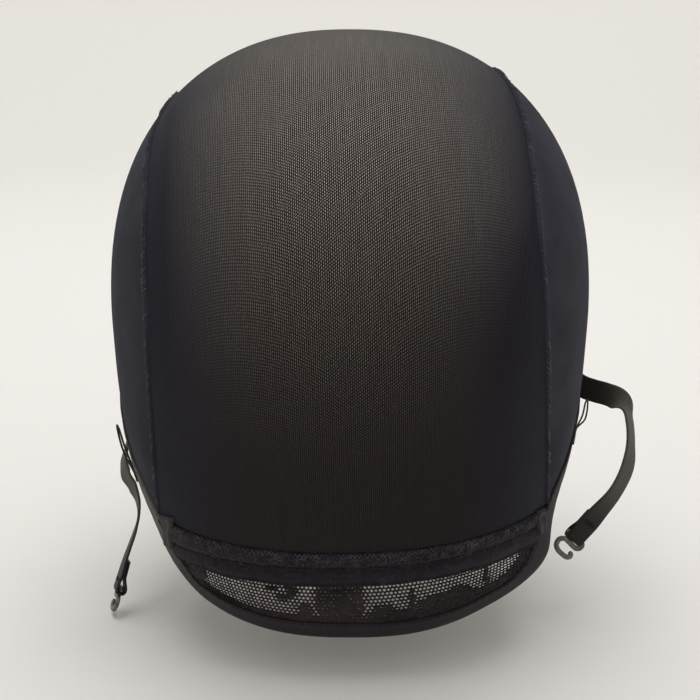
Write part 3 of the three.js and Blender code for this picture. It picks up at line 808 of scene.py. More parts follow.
@dataclass(frozen=True)
class Cloth(Finish):
    """Woven or knitted black cloth: fine ribs, cloudy dye, and lint or paler patches where asked.

    The ribs give the eye a soft grain without gloss, the clouds and lint that of a used cloth.
    The paler patches are painted highlight on the binding's left nape corner and on the straps' lit
    stretch, and a plain paler tone on the binding's turned ends.
    """

    name: str = "black_cloth"
    base: str = "2b2b30"
    cloud: str = "232328"
    cloud_mm: float = 14.0
    rib_mm: float = 0.8
    weft_mm: float = 0.8
    shade: float = 0.35  # how dark the cloth is between its ribs
    shadow: str = "08080a"
    fleck: str = "4a474a"
    fleck_mm: float = 1.1
    fleck_share: float = 0.0
    # colour of the paler patches; on the binding and the straps it is painted highlight
    pale_patch: str = ""

    def pattern(self, tree: NodeTree) -> tuple[list[tuple[Any, str]], Node | None]:
        """The weave is a cosine across the cloth times one along it; clouds and lint are soft noise.

        Args:
            tree: node tree of the material.

        Returns:
            The layers of colour, and the weave as the relief's height.
        """
        axes = add_node(tree, "SeparateXYZ", {0: add_node(tree, "UVMap", uv_map=CLOTH_UV)})
        weave: Any = 1.0
        for axis, pitch in enumerate((self.rib_mm, self.weft_mm)):
            phase = add_node(tree, "Math", {0: axes.outputs[axis], 1: 2 * math.pi / pitch},
                             operation="MULTIPLY")
            wave = add_node(tree, "Math", {0: phase}, operation="COSINE")
            rib = add_node(tree, "MapRange", {"Value": wave, "From Min": -1.0})
            weave = add_node(tree, "Math", {0: weave, 1: rib}, operation="MULTIPLY")
        where = add_node(tree, "TexCoord").outputs["Object"]
        clouds = add_node(tree, "TexNoise", {"Vector": where, "Scale": 1 / (self.cloud_mm * MM),
                                             "Detail": 4.0, "Roughness": 0.6})
        cloudy = add_node(tree, "MapRange", {"Value": clouds, "From Min": 0.35, "From Max": 0.65})
        shaded = add_node(tree, "MapRange", {"Value": weave, "To Max": self.shade})
        layers = [(cloudy, self.cloud), (shaded, self.shadow)]
        if self.fleck_share > 0:
            lint = add_node(tree, "TexNoise", {"Vector": where, "Scale": 1 / (self.fleck_mm * MM),
                                               "Detail": 2.0})
            flecks = add_node(tree, "MapRange", {"Value": lint, "From Min": 0.5, "From Max": 0.72,
                                                 "To Max": self.fleck_share})
            layers.append((flecks, self.fleck))
        # paler patches by a share at each point: painted highlight on the binding's corner and the straps
        if self.pale_patch:
            worn = add_node(tree, "Attribute", attribute_name="pale_patch")
            layers.append((worn.outputs["Fac"], self.pale_patch))
        return layers, weave


@dataclass(frozen=True)
class Thread(Finish):
    """Spun polyester sewing thread: dull, a little paler than the cloth, with uneven dye."""

    name: str = "spun_polyester_thread"
    base: str = "38363a"
    pale: str = "6a6668"
    patch_mm: float = 3.0
    twist_mm: float = 0.3
    depth_mm: float = 0.03

    def pattern(self, tree: NodeTree) -> tuple[list[tuple[Any, str]], Node | None]:
        """Two greys mixed by noise on the object's millimetres, with a fine twist as relief.

        Args:
            tree: node tree of the material.

        Returns:
            The layers of colour, and the twist as the relief's height.
        """
        where = add_node(tree, "TexCoord").outputs["Object"]
        patches, twist = (add_node(tree, "TexNoise", {"Vector": where, "Scale": 1 / (size * MM)})
                          for size in (self.patch_mm, self.twist_mm))
        patchy = add_node(tree, "MapRange", {"Value": patches, "From Min": 0.4, "From Max": 0.7})
        return [(patchy, self.pale)], twist


@dataclass(frozen=True)
class MouldedPlastic(Finish):
    """Injection-moulded acetal: satin, dark olive grey, with faint flow marks and rubbed spots."""

    name: str = "moulded_acetal_plastic"
    base: str = "4a4842"
    roughness: float = 0.42
    specular: float = 0.5
    pale_patch: str = "77736a"
    flow_mm: float = 1.6
    depth_mm: float = 0.05

    def pattern(self, tree: NodeTree) -> tuple[list[tuple[Any, str]], Node | None]:
        """One noise gives both the paler spots and the marks of the flow.

        Args:
            tree: node tree of the material.

        Returns:
            The layers of colour, and the flow as the relief's height.
        """
        where = add_node(tree, "TexCoord").outputs["Object"]
        flow = add_node(tree, "TexNoise", {"Vector": where, "Scale": 1 / (self.flow_mm * MM), "Detail": 3.0})
        spots = add_node(tree, "MapRange", {"Value": flow, "From Min": 0.42, "From Max": 0.7})
        return [(spots, self.pale_patch)], flow


@dataclass(frozen=True)
class StudioPaper(Finish):
    """Matte seamless paper: warm pale grey with a very faint mottle."""

    name: str = "seamless_paper"
    base: str = "f1efec"
    roughness: float = 0.95
    mottle: str = "efece8"
    mottle_mm: float = 500.0

    def pattern(self, tree: NodeTree) -> tuple[list[tuple[Any, str]], Node | None]:
        """Two near greys mixed by wide noise, with no relief.

        Args:
            tree: node tree of the material.

        Returns:
            The layer of colour.
        """
        where = add_node(tree, "TexCoord").outputs["Object"]
        mottled = add_node(tree, "TexNoise", {"Vector": where, "Scale": 1 / (self.mottle_mm * MM)})
        return [(mottled, self.mottle)], None


@dataclass
class CrownPanel:
    """Sheer panel from the forehead over the crown to the nape band, tucked under its neighbours."""

    cap: CapPattern
    columns: int = 121
    rows: int = 181
    mean_width: float = 116.0
    seam_steps: tuple[float, ...] = (  # close columns along both seams
        0.0, 0.4, 0.8, 1.2, 1.6, 2.0, 2.4, 2.8, 3.4, 4.2)
    tuck: float = 1.6  # how far its edges run under the neighbours
    sunk: float = 1.5  # how deep they lie there
    sunk_mm: float = 2.88  # over what distance they sink
    # width of the painted shade along each seam, from where the edge tucks under
    seam_shade_mm: float = 0.65
    wall: float = 0.6
    stretch: float = 1.18
    searched: Span = (1.3, 1.15)  # how far past the seams' ends the front and nape edges are searched
    middle_rise: tuple[Span, Span] = ((0.06, 0.3), (0.97, 0.67))  # shares across, from each seam
    nape_open: float = 0.07  # openness left at the nape, then the angles over which it grows
    nape_fade: Span = (208.0, 130.0)
    front_open: float = 0.58
    front_fade: Span = (86.0, 114.0)
    upper_part: Span = (130.0, 108.0)  # angles over which the lower and the upper part begin
    lower_part: Span = (148.0, 188.0)
    left_start: float = 0.05  # share across from which the holes open, and the reach of that, low and high
    left_reach: Span = (0.2, 0.26)
    right_start: Span = (1.0, 0.88)  # the same from the right, high and low
    right_reach: Span = (0.26, 0.32)
    top_blend: float = 0.9  # share of the mean colour over the crown, where the mesh is seen on the slant
    top_fade: Span = (132.0, 106.0)
    side_blend: float = 0.62
    side_fade: Span = (0.1, 0.4)  # shares off the middle

    def surface(self) -> tuple[Array, Array]:
        """Grid of form points: equal shares between the seams, equal angles from rim to band.

        Returns:
            Points of shape (rows, columns, 3) and the share across each column.
        """
        cap, form = self.cap, self.cap.form
        margin = self.tuck / self.mean_width
        near = np.array(self.seam_steps) / (self.mean_width + 2 * self.tuck)
        even = np.linspace(near[-1], 1 - near[-1], self.columns - 2 * len(near) + 2)[1:-1]
        share = lerp(-margin, 1 + margin, np.concatenate([near, even, 1 - near[::-1]]))

        def front(rim: Array) -> Array:
            """Points under the binding in front at shares of the rim."""
            return cap.tape_line(rim, -self.tuck)

        def nape(x: Array) -> Array:
            """Points under the nape band at places across."""
            return form.back(x, cap.band_top(x) - self.tuck)

        ends = []
        for edge, past, stops in ((front, self.searched[0], [cap.front_end[side] for side in Side]),
                                  (nape, self.searched[1], [cap.nape_end[side][0] for side in Side])):
            place = bisect(lambda t: cap.seam_share(edge(t)) - share, *(past * stop for stop in stops))
            ends.append(side_angle(edge(place)))
        angle = lerp(*ends, np.linspace(0, 1, self.rows)[:, None])
        return form.at(lerp(cap.seam(Side.LEFT, angle), cap.seam(Side.RIGHT, angle), share), angle), share

    def openness(self, share: Array, angle: Array) -> Array:
        """How far the mesh is stretched open, as a product of four shares.

        From each seam it rises as one minus e to minus the distance over a reach. It falls off
        smoothly to the nape and, less, over the crown to the front.

        Args:
            share: place across, 0 at the left seam and 1 at the right.
            angle: place along, as an angle in the middle plane.

        Returns:
            Shares from 0, shut, to 1.
        """
        high, low = ramp(angle, *self.upper_part), ramp(angle, *self.lower_part)
        from_left = np.maximum(share - self.left_start, 0) / lerp(*self.left_reach, high)
        from_right = np.maximum(lerp(*self.right_start, low) - share, 0) / lerp(*self.right_reach, low)
        down = lerp(self.nape_open, 1.0, ramp(angle, *self.nape_fade))
        over = lerp(self.front_open, 1.0, ramp(angle, *self.front_fade))
        return np.expm1(-from_left) * np.expm1(-from_right) * down * over

    def build(self, finish: Material) -> Piece:
        """Makes the panel's closed sheet, with the values its material reads, and works out its cut.

        Args:
            finish: material of the mesh.

        Returns:
            The panel.
        """
        grid, share = self.surface()
        width, length, angle = run_length(grid, 1), run_length(grid, 0), side_angle(grid)
        side_edge = np.minimum(width, width[:, -1:] - width)
        end_edge = np.minimum(length, length[-1:] - length)
        lift = -self.sunk * ramp(np.minimum(side_edge, end_edge), self.sunk_mm, 0)
        from_left, from_right = (ramp(share, *rise) for rise in self.middle_rise)
        blends = (self.top_blend * ramp(angle, *self.top_fade),
                  self.side_blend * ramp(np.abs(share - 0.5), *self.side_fade))
        # the last value is painted shade along both seams
        values = {"openness": self.openness(share, angle), "blend": np.maximum(*blends),
                  "middle": np.broadcast_to(from_left * from_right, angle.shape),
                  "crease": bump(side_edge - self.tuck, self.seam_shade_mm)}
        centre = self.columns // 2
        uv = np.stack([width - width[:, centre:centre + 1], length], -1)
        piece = make_piece("crown_panel_mesh", self.cap.faces(grid, lift, lift - self.wall),
                           sheet_quads(self.rows, self.columns), finish, uv, values)
        enlist(piece, "mesh", "crown_panel")
        cut = flat_size(width, length, self.stretch)
        return piece


@dataclass
class SidePanel:
    """Opaque stretch panel over one ear, with a raised overlocked seam along the crown panel."""

    cap: CapPattern
    side: Side
    columns: int = 161
    ridge: tuple[float, ...] = (0.0, 0.3, 0.7, 1.2, 1.8, 2.4, 3.0, 3.8)  # rows by the seam
    ridge_room: float = 2.5  # the rows close up where the panel is narrower than this many of their widths
    field_rows: int = 34
    end_share: float = 0.004  # part of the length left free at both ends
    lip: float = 0.6
    lip_at: Span = (1.3, 0.9)  # middle and width of the seam's bead, from the seam
    lip_waves: tuple[Span, ...] = ((0.14, 3.1), (0.1, 1.3), (0.12, 8.7))  # height and length of its waves
    step: float = 0.2
    step_mm: float = 6.0
    groove: float = 0.4
    groove_mm: float = 0.25
    tuck: float = 1.6
    sunk: float = 0.6
    wall: float = 0.7
    inner_top: float = 0.2  # the inner face follows the outer one up to this height
    stretch: float = 1.12
    stitch_mm: float = 1.9
    stitch_span: Span = (0.15, 2.9)  # how far from the seam a bight starts and ends
    stitch_slant: float = 0.9
    stitch_share: float = 0.6  # share of the bights that stand out
    lint: int = 300
    lint_mm: float = 0.9

    def surface(self) -> tuple[Array, Array]:
        """Grid of form points: a few fixed distances from the seam, then even shares to the rim.

        Returns:
            Points of shape (rows, columns, 3) and their distance from the seam.
        """
        cap, form, side = self.cap, self.cap.form, self.side
        ends = cap.front_end[side], cap.back_end[side]
        t = np.linspace(self.end_share, 1 - self.end_share, self.columns)
        angle = lerp(*(side_angle(cap.tape_line(end, GAP)) for end in ends), t)
        seam = form.at(cap.seam(side, angle) + side.value * GAP, angle)
        rim = cap.tape_line(lerp(*ends, t), -self.tuck)
        reach = np.linalg.norm(rim - seam, axis=-1)
        room = np.minimum(1.0, reach / (self.ridge_room * self.ridge[-1]))
        near = np.array(self.ridge)[:, None] * room / reach
        rest = np.linspace(0, 1, self.field_rows + 1)[1:, None]
        down = np.concatenate([near, lerp(near[-1], 1.0, rest)])
        return form.project(lerp(seam[None], rim[None], down[..., None])), down * reach

    def ridge_lift(self, run: Array, away: Array) -> Array:
        """Height of the seam ridge: a rounded bead on a low step, with a groove along the seam.

        Args:
            run: length run along the seam, by which three waves make the bead uneven.
            away: distance from the seam.

        Returns:
            Lifts over the form.
        """
        wave = 1 + sum(height * np.sin(run / mm + phase)
                       for (height, mm), phase in zip(self.lip_waves, (0.0, 2.0, self.side.value)))
        bead = self.lip * wave * bump(away - self.lip_at[0], self.lip_at[1])
        return bead + self.step * ramp(away, self.step_mm, 0) - self.groove * bump(away, self.groove_mm)

    def build(self, finish: Material) -> Piece:
        """Makes the panel's closed sheet and works out its cut.

        Args:
            finish: material of the knit.

        Returns:
            The panel.
        """
        grid, away = self.surface()
        run = run_length(grid, 1)
        lift = self.ridge_lift(run[0], away) - self.sunk * ramp(away[-1:] - away, 2 * self.tuck, 0)
        piece = make_piece(f"side_panel_{self.side.tag}_knit",
                           self.cap.faces(grid, lift, np.minimum(lift, self.inner_top) - self.wall),
                           sheet_quads(*away.shape), finish, np.stack([run, away], -1))
        enlist(piece, "stretch", f"side_panel_{self.side.tag}")
        cut = flat_size(run, away, self.stretch)
        return piece

    def stitches(self, finish: Material) -> Piece:
        """Overlock threads: slanted bights over the ridge and some lint.

        Args:
            finish: material of the thread.

        Returns:
            The joined threads.
        """
        rng = np.random.default_rng(31 + self.side.value)
        grid, _ = self.surface()
        run = run_length(grid, 1)[0]
        stops = np.arange(4.0, run[-1] - 4.0, self.stitch_mm)
        stops = (stops + rng.uniform(-0.6, 0.6, len(stops)))[rng.random(len(stops)) < self.stitch_share]
        across = np.linspace(*self.stitch_span, 8)
        along = stops[:, None] + np.linspace(0.0, self.stitch_slant, 8)
        column = np.interp(along, run, np.arange(len(run)))
        row = np.broadcast_to(np.interp(across, self.ridge, np.arange(len(self.ridge))), column.shape)
        base = self.cap.form.project(between(grid, row, column))
        bights = self.cap.place(base, self.ridge_lift(along, across) + 0.12)
        roots = bights[rng.integers(0, len(bights), self.lint), rng.integers(1, 7, self.lint)]
        lint = fibres(rng, roots, self.cap.form.normal(roots), self.lint_mm)
        return sew(f"seam_{self.side.tag}_overlock_threads", "stretch", finish,
                   (bights, 0.1), (lint, rng.uniform(0.03, 0.07, self.lint)))


@dataclass
class NapeBand:
    """Elastic band across the nape: an overlocked strip, a stitch line and pockets between bar tacks."""

    cap: CapPattern
    columns: int = 241
    rows: int = 29
    row_span: Span = (-0.02, 1.03)  # first and last row, in shares of the band's height
    under: float = 1.2  # how far the ends run under the binding
    end_fit: int = 6  # power by which the height bends to the binding at the ends
    strip_share: float = 0.4
    strip_lift: float = 0.95
    strip_edges: Span = (0.06, 0.33)  # places down the band between which it has its full lift
    stitch_lift: float = 0.2
    pocket_lift: float = 1.25
    tacked_share: float = 0.35  # lift left at a tack
    hem_lift: float = 0.5
    tack_first: float = 3.7
    tack_pitch: float = 16.2
    tack_span: Span = (0.1, 0.62)  # where down the band a tack starts and ends
    tack_half: float = 0.55
    tack_strokes: int = 14
    tack_margin: float = 6.0  # least distance of a tack from the band's ends
    wall: float = 0.9
    stitch_pitch: float = 2.6
    stitch_share: float = 0.62  # part of the pitch that shows as thread
    stitch_rows: Span = (0.43, 0.955)  # places down the band of its two lines of stitches
    chain_pitch: float = 1.5
    lint: int = 1500
    lint_mm: float = 1.3
    lint_radius: Span = (0.02, 0.05)

    def at(self, share: Array, down: Array) -> Array:
        """Form points of the band, from its left end to its right and from its top to its bottom.

        Args:
            share: place along the band, 0 at the left end and 1 at the right.
            down: place down the band, 0 at the top and 1 at the bottom.

        Returns:
            Points on the form, bent to the binding at both ends.
        """
        cap = self.cap
        share, down = np.broadcast_arrays(np.asarray(share, float), np.asarray(down, float))

        def height(x: Array) -> Array:
            """Height of the row at a place across the cap."""
            return lerp(cap.band_top(x), cap.band_bottom(x), down)

        left, right = (
            cap.tape_line(lerp(cap.back_end[side], cap.low_end[side], np.clip(down, 0, 1)), GAP - self.under)
            for side in Side)
        x = lerp(left[..., 0], right[..., 0], share)
        fit = sum((end[..., 2] - height(end[..., 0])) * near**self.end_fit
                  for end, near in ((left, 1 - share), (right, share)))
        return cap.form.back(x, height(x) + fit)

    def lift(self, x: Array, down: Array) -> Array:
        """Height of the band's face: a fuzzy flat strip, a groove, then pockets that puff between tacks.

        Args:
            x: place across the cap.
            down: place down the band.

        Returns:
            Lifts over the form. A pocket follows the root of a sine along the band and a flattened
            sine down it, and the strip and the hem are smooth steps.
        """
        strip_top, strip_end = self.strip_edges
        strip = self.strip_lift * ramp(down, 0, strip_top) * ramp(down, self.strip_share, strip_end)
        strip = strip * (1 + 0.12 * np.sin(x / 1.7) + 0.1 * np.sin(x / 0.73 + 9 * down))  # two waves of fuzz
        t = np.clip((down - self.strip_share) / (1 - self.strip_share), 0, 1)
        puff = np.sqrt(np.abs(np.sin(np.pi * (x - self.tack_first) / self.tack_pitch)))
        pocket = self.pocket_lift * lerp(self.tacked_share, 1.0, puff) * np.sin(np.pi * 0.93 * t) ** 0.7
        hem = self.hem_lift * ramp(down, 0.9, 0.94) * ramp(down, 1.02, 0.99)
        return self.stitch_lift + strip + pocket + hem

    def build(self, finish: Material) -> Piece:
        """Makes the band's closed sheet.

        Args:
            finish: material of the band.

        Returns:
            The band.
        """
        down = np.linspace(*self.row_span, self.rows)[:, None]
        grid = self.at(np.linspace(0, 1, self.columns), down)
        run, drop = run_length(grid, 1), run_length(grid, 0)
        faces = self.cap.faces(grid, self.lift(grid[..., 0], down), -self.wall)
        piece = make_piece("nape_band_elastic", faces, sheet_quads(self.rows, self.columns), finish,
                           np.stack([run, drop], -1))
        enlist(piece, "elastic", "nape_band")
        return piece

    def on_face(self, share: Array, down: Any, extra: Any) -> Array:
        """Points a little above the band's face."""
        base = self.at(share, down)
        return self.cap.place(base, self.lift(base[..., 0], down) + extra)

    def stitches(self, finish: Material, fuzz: Material) -> None:
        """Two lines of running stitches and zigzag bar tacks, then the strip's edge chain and its lint.

        Args:
            finish: material of the sewing thread.
            fuzz: material of the chain and the lint.
        """
        rng = np.random.default_rng(7)
        long = float(run_length(self.at(np.linspace(0, 1, 200), 0.5), 0)[-1])
        count = int(long / self.stitch_pitch)
        t = np.linspace(0.0, 1.0, 6)
        starts = (np.arange(count) + 0.3 + rng.uniform(-0.06, 0.06, count)) / count
        dash = starts[:, None] + self.stitch_share / count * t
        arch = 0.16 * np.sin(np.pi * t) - 0.02
        dashes = np.concatenate([self.on_face(dash, row, arch) for row in self.stitch_rows])
        first, last = (self.cap.nape_end[side][0] for side in Side)
        tacks = self.tack_first + self.tack_pitch * np.arange(-4, 5)
        tacks = tacks[(tacks > first + self.tack_margin) & (tacks < last - self.tack_margin)]
        zig = np.linspace(0, 1, 60)
        across = (tacks[:, None] + self.tack_half * zigzag(zig, self.tack_strokes) - first) / (last - first)
        bars = self.on_face(across, lerp(*self.tack_span, zig), 0.12)
        edge, steps = np.linspace(0.01, 0.99, 1800), np.linspace(0, 1, 1800)
        turn = 2 * np.pi * steps * long / self.chain_pitch
        chain = self.on_face(edge, 0.03 + 0.018 * np.sin(turn), 0.1 + 0.1 * np.cos(turn))
        share = rng.uniform(0.01, 0.99, self.lint)
        drop = np.abs(rng.normal(0.12, 0.14, self.lint)).clip(0.0, 0.42)
        roots = self.on_face(share, drop, 0.0)
        lint = fibres(rng, roots, self.cap.form.normal(roots), self.lint_mm)
        sew("nape_band_stitches", "elastic", finish, (dashes, 0.19), (bars, 0.14))
        sew("nape_band_fuzz", "elastic", fuzz, (chain[None], 0.1),
            (lint, rng.uniform(*self.lint_radius, self.lint)))


@dataclass(frozen=True)
class Motif:
    """One filled patch of the lace, as a tilted ellipse in millimetres from the middle of its top."""

    along: float
    down: float
    half_along: float
    half_down: float
    tilt: float = 0.0

    def covers(self, along: Array, down: Array) -> Array:
        """Whether points lie inside: both shares of the half axes, squared, add up to less than 1.

        Args:
            along: millimetres along the lace.
            down: millimetres down it.

        Returns:
            One answer for each point.
        """
        cos, sin = math.cos(math.radians(self.tilt)), math.sin(math.radians(self.tilt))
        a, b = along - self.along, down - self.down
        u, v = (a * cos + b * sin) / self.half_along, (b * cos - a * sin) / self.half_down
        return u * u + v * v < 1


@dataclass
class NapeLace:
    """Crescent of hexagonal net under the band, cut through, with filled motifs worked into it."""

    cap: CapPattern
    pitch: float = 1.25
    pull: float = 1.5  # how much longer a cell is down the net than a regular one
    hole_share: float = 0.66  # size of a hole in its cell
    pinhole_share: float = 0.26  # the same in a motif
    shut_share: float = 0.45  # share of a motif's cells that are filled
    narrowing: float = 0.05  # how much each worked neighbour narrows a hole
    uneven: Span = (0.84, 1.1)
    thread: float = 0.25
    raised: float = 0.28
    sunk: float = 0.1
    rounding: float = 0.06  # how far the holes' edges lie below the knots
    over: float = 1.4  # how far the net runs under the band and the binding
    margin: float = 0.8
    steps: int = 241
    fine_steps: int = 801
    floor: tuple[Span, ...] = (  # along and down the net: lower end of the open cells
        (-48, 12), (-44, 17), (-38, 18), (-31, 16.3), (-25, 16.3), (-14.6, 16.3), (-10, 17), (2.4, 17),
        (5.2, 14.8), (11.6, 15.4), (16.6, 14.9), (21, 11.5), (25.7, 10.7), (29.2, 9.9), (31.3, 8),
        (34.2, 10.2), (36.9, 13.6), (38.5, 15.6), (41.6, 16), (44.5, 14.8), (47.5, 13.5), (49.7, 12.6),
        (54.2, 8.6), (57.7, 4.4), (60, 1))
    motifs: tuple[Motif, ...] = (
        Motif(-3.5, 8.0, 7.0, 16.0), Motif(-13.0, 14.5, 1.8, 4.4), Motif(-17.9, 4.2, 1.8, 5.2),
        Motif(-20.6, 8.6, 0.9, 2.8, -24.0), Motif(-24.4, 4.6, 2.6, 0.8, 20.0), Motif(8.9, 14.8, 2.8, 3.0),
        Motif(17.2, 11.5, 0.8, 6.6, 8.0), Motif(41.6, 12.0, 0.7, 11.0, 12.0), Motif(-54.5, 8.0, 7.0, 14.0))

    def edges(self) -> tuple[Array, Array]:
        """Upper and lower edge of the crescent.

        Returns:
            Two lines of points, at equal steps from left to right.
        """
        cap = self.cap
        ends = cap.low_end[Side.LEFT] + 1, cap.low_end[Side.RIGHT]
        fine = np.linspace(*ends, self.fine_steps)
        run = run_length(cap.tape_line(fine, GAP), 0)
        shares = np.interp(np.linspace(0, run[-1], self.steps), run, fine)
        x = np.linspace(*(cap.tape_line(end, GAP)[0] for end in ends), self.steps)
        return cap.form.back(x, cap.band_bottom(x) + self.over), cap.tape_line(shares, -self.over)

    def filled(self, along: Array, down: Array) -> Array:
        """Whether points of the net lie in a motif, or in the worked border below its open cells."""
        worked = [motif.covers(along, down) for motif in self.motifs]
        return np.any([down > np.interp(along, *np.transpose(self.floor)), *worked], axis=0)

    def build(self, finish: Material) -> Piece:
        """Lays hexagons in the net's own millimetres, opens those outside the motifs and wraps them on.

        Args:
            finish: material of the net.

        Returns:
            The net.
        """
        cap = self.cap
        top, bottom = self.edges()
        run = run_length(top, 0)
        centre = float(np.interp(0.0, top[:, 0], run))
        drop = np.maximum(np.linalg.norm(bottom - top, axis=-1), 0.4)
        radius = self.pitch / math.sqrt(3)
        step = 1.5 * radius * self.pull
        j, i = np.indices((int(drop.max() / step) + 2, int(run[-1] / self.pitch) + 2))
        along, down = ((i + 0.5 * (j % 2)) * self.pitch).ravel(), (j * step).ravel()
        kept = ((along > self.margin) & (along < run[-1] - self.margin)
                & (down < np.interp(along, run, drop) + radius * self.pull))
        along, down = along[kept], down[kept]
        angle = np.radians(30 + 60 * np.arange(6))
        offset = radius * np.stack([np.cos(angle), self.pull * np.sin(angle)], -1)
        middle = np.stack([along, down], -1)[:, None]
        knots, cells = np.unique(np.round((middle + offset).reshape(-1, 2), 4), axis=0, return_inverse=True)
        cells = cells.reshape(-1, 6)
        rng = np.random.default_rng(11)
        worked = self.filled(along - centre, down)
        shut = worked & (rng.random(len(along)) < self.shut_share)
        beside = [self.filled(along - centre + a, down + b) for a, b in 2 * offset]
        share = self.hole_share * (1 - self.narrowing * np.sum(beside, axis=0))
        share = np.where(worked, self.pinhole_share, share) * rng.uniform(*self.uneven, len(along))
        flat = np.concatenate([knots, (middle + offset * share[:, None, None])[~shut].reshape(-1, 2)])
        heavy = np.full(len(flat), -self.rounding)
        heavy[:len(knots)] = 0.0
        heavy[np.unique(cells[worked])] = self.raised
        s = np.clip(flat[:, 0], 0, run[-1])
        upper, lower = (np.stack([np.interp(s, run, axis) for axis in line.T], -1)
                        for line in (top, bottom))
        t = np.clip(flat[:, 1] / np.interp(s, run, drop), -0.1, 1.0)
        laid = cap.form.project(lerp(upper, lower, t[:, None]))
        points = cap.faces(laid, heavy - self.sunk, heavy * 0.3 - self.sunk - self.thread)
        piece = make_piece("nape_lace_net", points, net_quads(cells, shut, len(knots)), finish, flat)
        enlist(piece, "net", "nape_lace")
        return piece


@dataclass
class EdgeBinding:
    """Folded tape round the whole rim, with a stitched inner edge and two turned ends at the nape."""

    cap: CapPattern
    stations: int = 520
    fold_in: tuple[float, ...] = (0.0, 0.12, 0.5, 1.1)  # distances in from the fold, and their lifts
    fold_lift: tuple[float, ...] = (-0.5, 0.1, 0.48, 0.6)
    flat_share: Point = (0.3, 0.55, 0.78)  # shares of the width, on the flat of the tape
    proud: float = 0.6
    edge_out: tuple[float, ...] = (1.9, 1.2, 0.5, 0.08, 0.0)  # out from the inner edge, and their lifts
    edge_lift: tuple[float, ...] = (0.62, 0.42, 0.74, 0.62, 0.2)
    inner_lift: float = -0.9  # the inner face mirrors the outer one about half of this
    ripples: tuple[Point, ...] = ((0.05, 190.0, 0.0), (0.04, 433.0, 1.0))  # height, turns and start
    stitch_in: float = 1.2
    stitch_pitch: float = 2.7
    painted_highlight_at: Span = (0.69, 0.035)  # share of the rim painted paler as a highlight, at the left nape corner, and how wide that is
    tab_size: tuple[int, int] = (25, 15)
    tab_wall: float = 0.7
    # share of the paler colour laid over the turned ends
    tab_pale_share: float = 0.3
    tabs: dict[Side, tuple[Span, ...]] = per_side(  # place across and height of each corner
        ((-59.6, -64.4), (-55.0, -63.0), (-56.3, -77.1), (-59.3, -78.0)),
        ((58.4, -62.2), (61.2, -62.8), (60.6, -71.4), (58.0, -72.0)))

    def section(self, width: Array) -> tuple[Array, Array]:
        """Section of the folded tape: distance in from the rim and lift, going round from the fold.

        Args:
            width: tape width at each station.

        Returns:
            Distances and lifts, each of shape (stations, points).
        """
        wide = width[:, None]
        outer = np.concatenate([np.array(self.fold_in) + 0 * wide, np.array(self.flat_share) * wide,
                                wide - np.array(self.edge_out)], 1)
        lift = np.array([*self.fold_lift, *(self.proud for _ in self.flat_share), *self.edge_lift])
        distance = np.concatenate([outer, outer[:, :0:-1]], 1)
        return distance, np.broadcast_to(np.append(lift, self.inner_lift - lift[:0:-1]), distance.shape)

    def build(self, finish: Material) -> Piece:
        """Carries the folded section round the rim, with two small ripples along it.

        Args:
            finish: material of the tape.

        Returns:
            The tape.
        """
        cap = self.cap
        share = cap.rim.even(self.stations)[:, None]
        edge, inward, width = cap.rim_frame(share[:, 0])
        distance, lift = self.section(width)
        base = cap.form.project(edge[:, None] + inward[:, None] * distance[..., None])
        ripple = sum(height * np.sin(share * turns + start) for height, turns, start in self.ripples)
        rings = cap.place(base, lift + ripple * np.clip(distance - 0.5, 0, 1))
        # painted highlight: the tape is made paler at the left nape corner, where it catches the light
        run, pale_patch = (np.broadcast_to(row, distance.shape) for row in (
            run_length(edge, 0)[:, None], bump(share - self.painted_highlight_at[0], self.painted_highlight_at[1])))
        piece = make_piece("edge_binding_tape", rings, carried_quads(self.stations, distance.shape[1], True),
                           finish, np.stack([run, distance], -1), {"pale_patch": pale_patch}, crease=60.0)
        return enlist(piece, "tape", "edge_binding")

    def tab_lift(self, u: Array, v: Array) -> Array:
        """Height of a turned end: soft edges, a dent, a wave, and a fold beside a groove further down.

        Args:
            u: share across the end.
            v: share down it.

        Returns:
            Lifts over the form.
        """
        edges = ramp(np.minimum(u, 1 - u), 0, 0.14) * ramp(np.minimum(v, 1 - v), 0, 0.05)
        dent = bump(np.hypot(u - 0.45, 2.2 * (v - 0.28)), 0.22)
        groove = bump(u - 0.55, 0.12) * ramp(v, 0.4, 0.6)
        wave, fold = np.sin(9 * v + 4 * u), bump(u - 0.8, 0.1)
        return 0.9 + 0.6 * edges - 0.28 * dent + 0.16 * wave + 0.3 * fold - 0.35 * groove

    def ends(self, finish: Material) -> Piece:
        """Turned ends of the tape: two short folded tabs that lie over the band's ends.

        Args:
            finish: material of the tape.

        Returns:
            Both tabs as one piece.
        """
        v, u = np.meshgrid(*(np.linspace(0, 1, count) for count in self.tab_size), indexing="ij")
        lift = self.tab_lift(u, v)
        points, quads, uv = [], [], []
        for side in Side:
            a, b, c, d = np.array(self.tabs[side])
            spot = lerp(lerp(a, b, u[..., None]), lerp(d, c, u[..., None]), v[..., None])
            base = self.cap.form.back(spot[..., 0], spot[..., 1])
            faces = self.cap.faces(base, lift, lift - self.tab_wall).reshape(-1, 3)
            quads.append(outward(faces, sheet_quads(*self.tab_size)) + len(faces) * len(points))
            points.append(faces)
            spread = np.stack([run_length(base, 1), run_length(base, 0)], -1)
            uv.append(np.stack([spread, spread]))
        piece = make_piece("edge_binding_ends", np.concatenate(points), np.concatenate(quads), finish,
                           np.concatenate(uv), {"pale_patch": self.tab_pale_share})
        return enlist(piece, "tape")

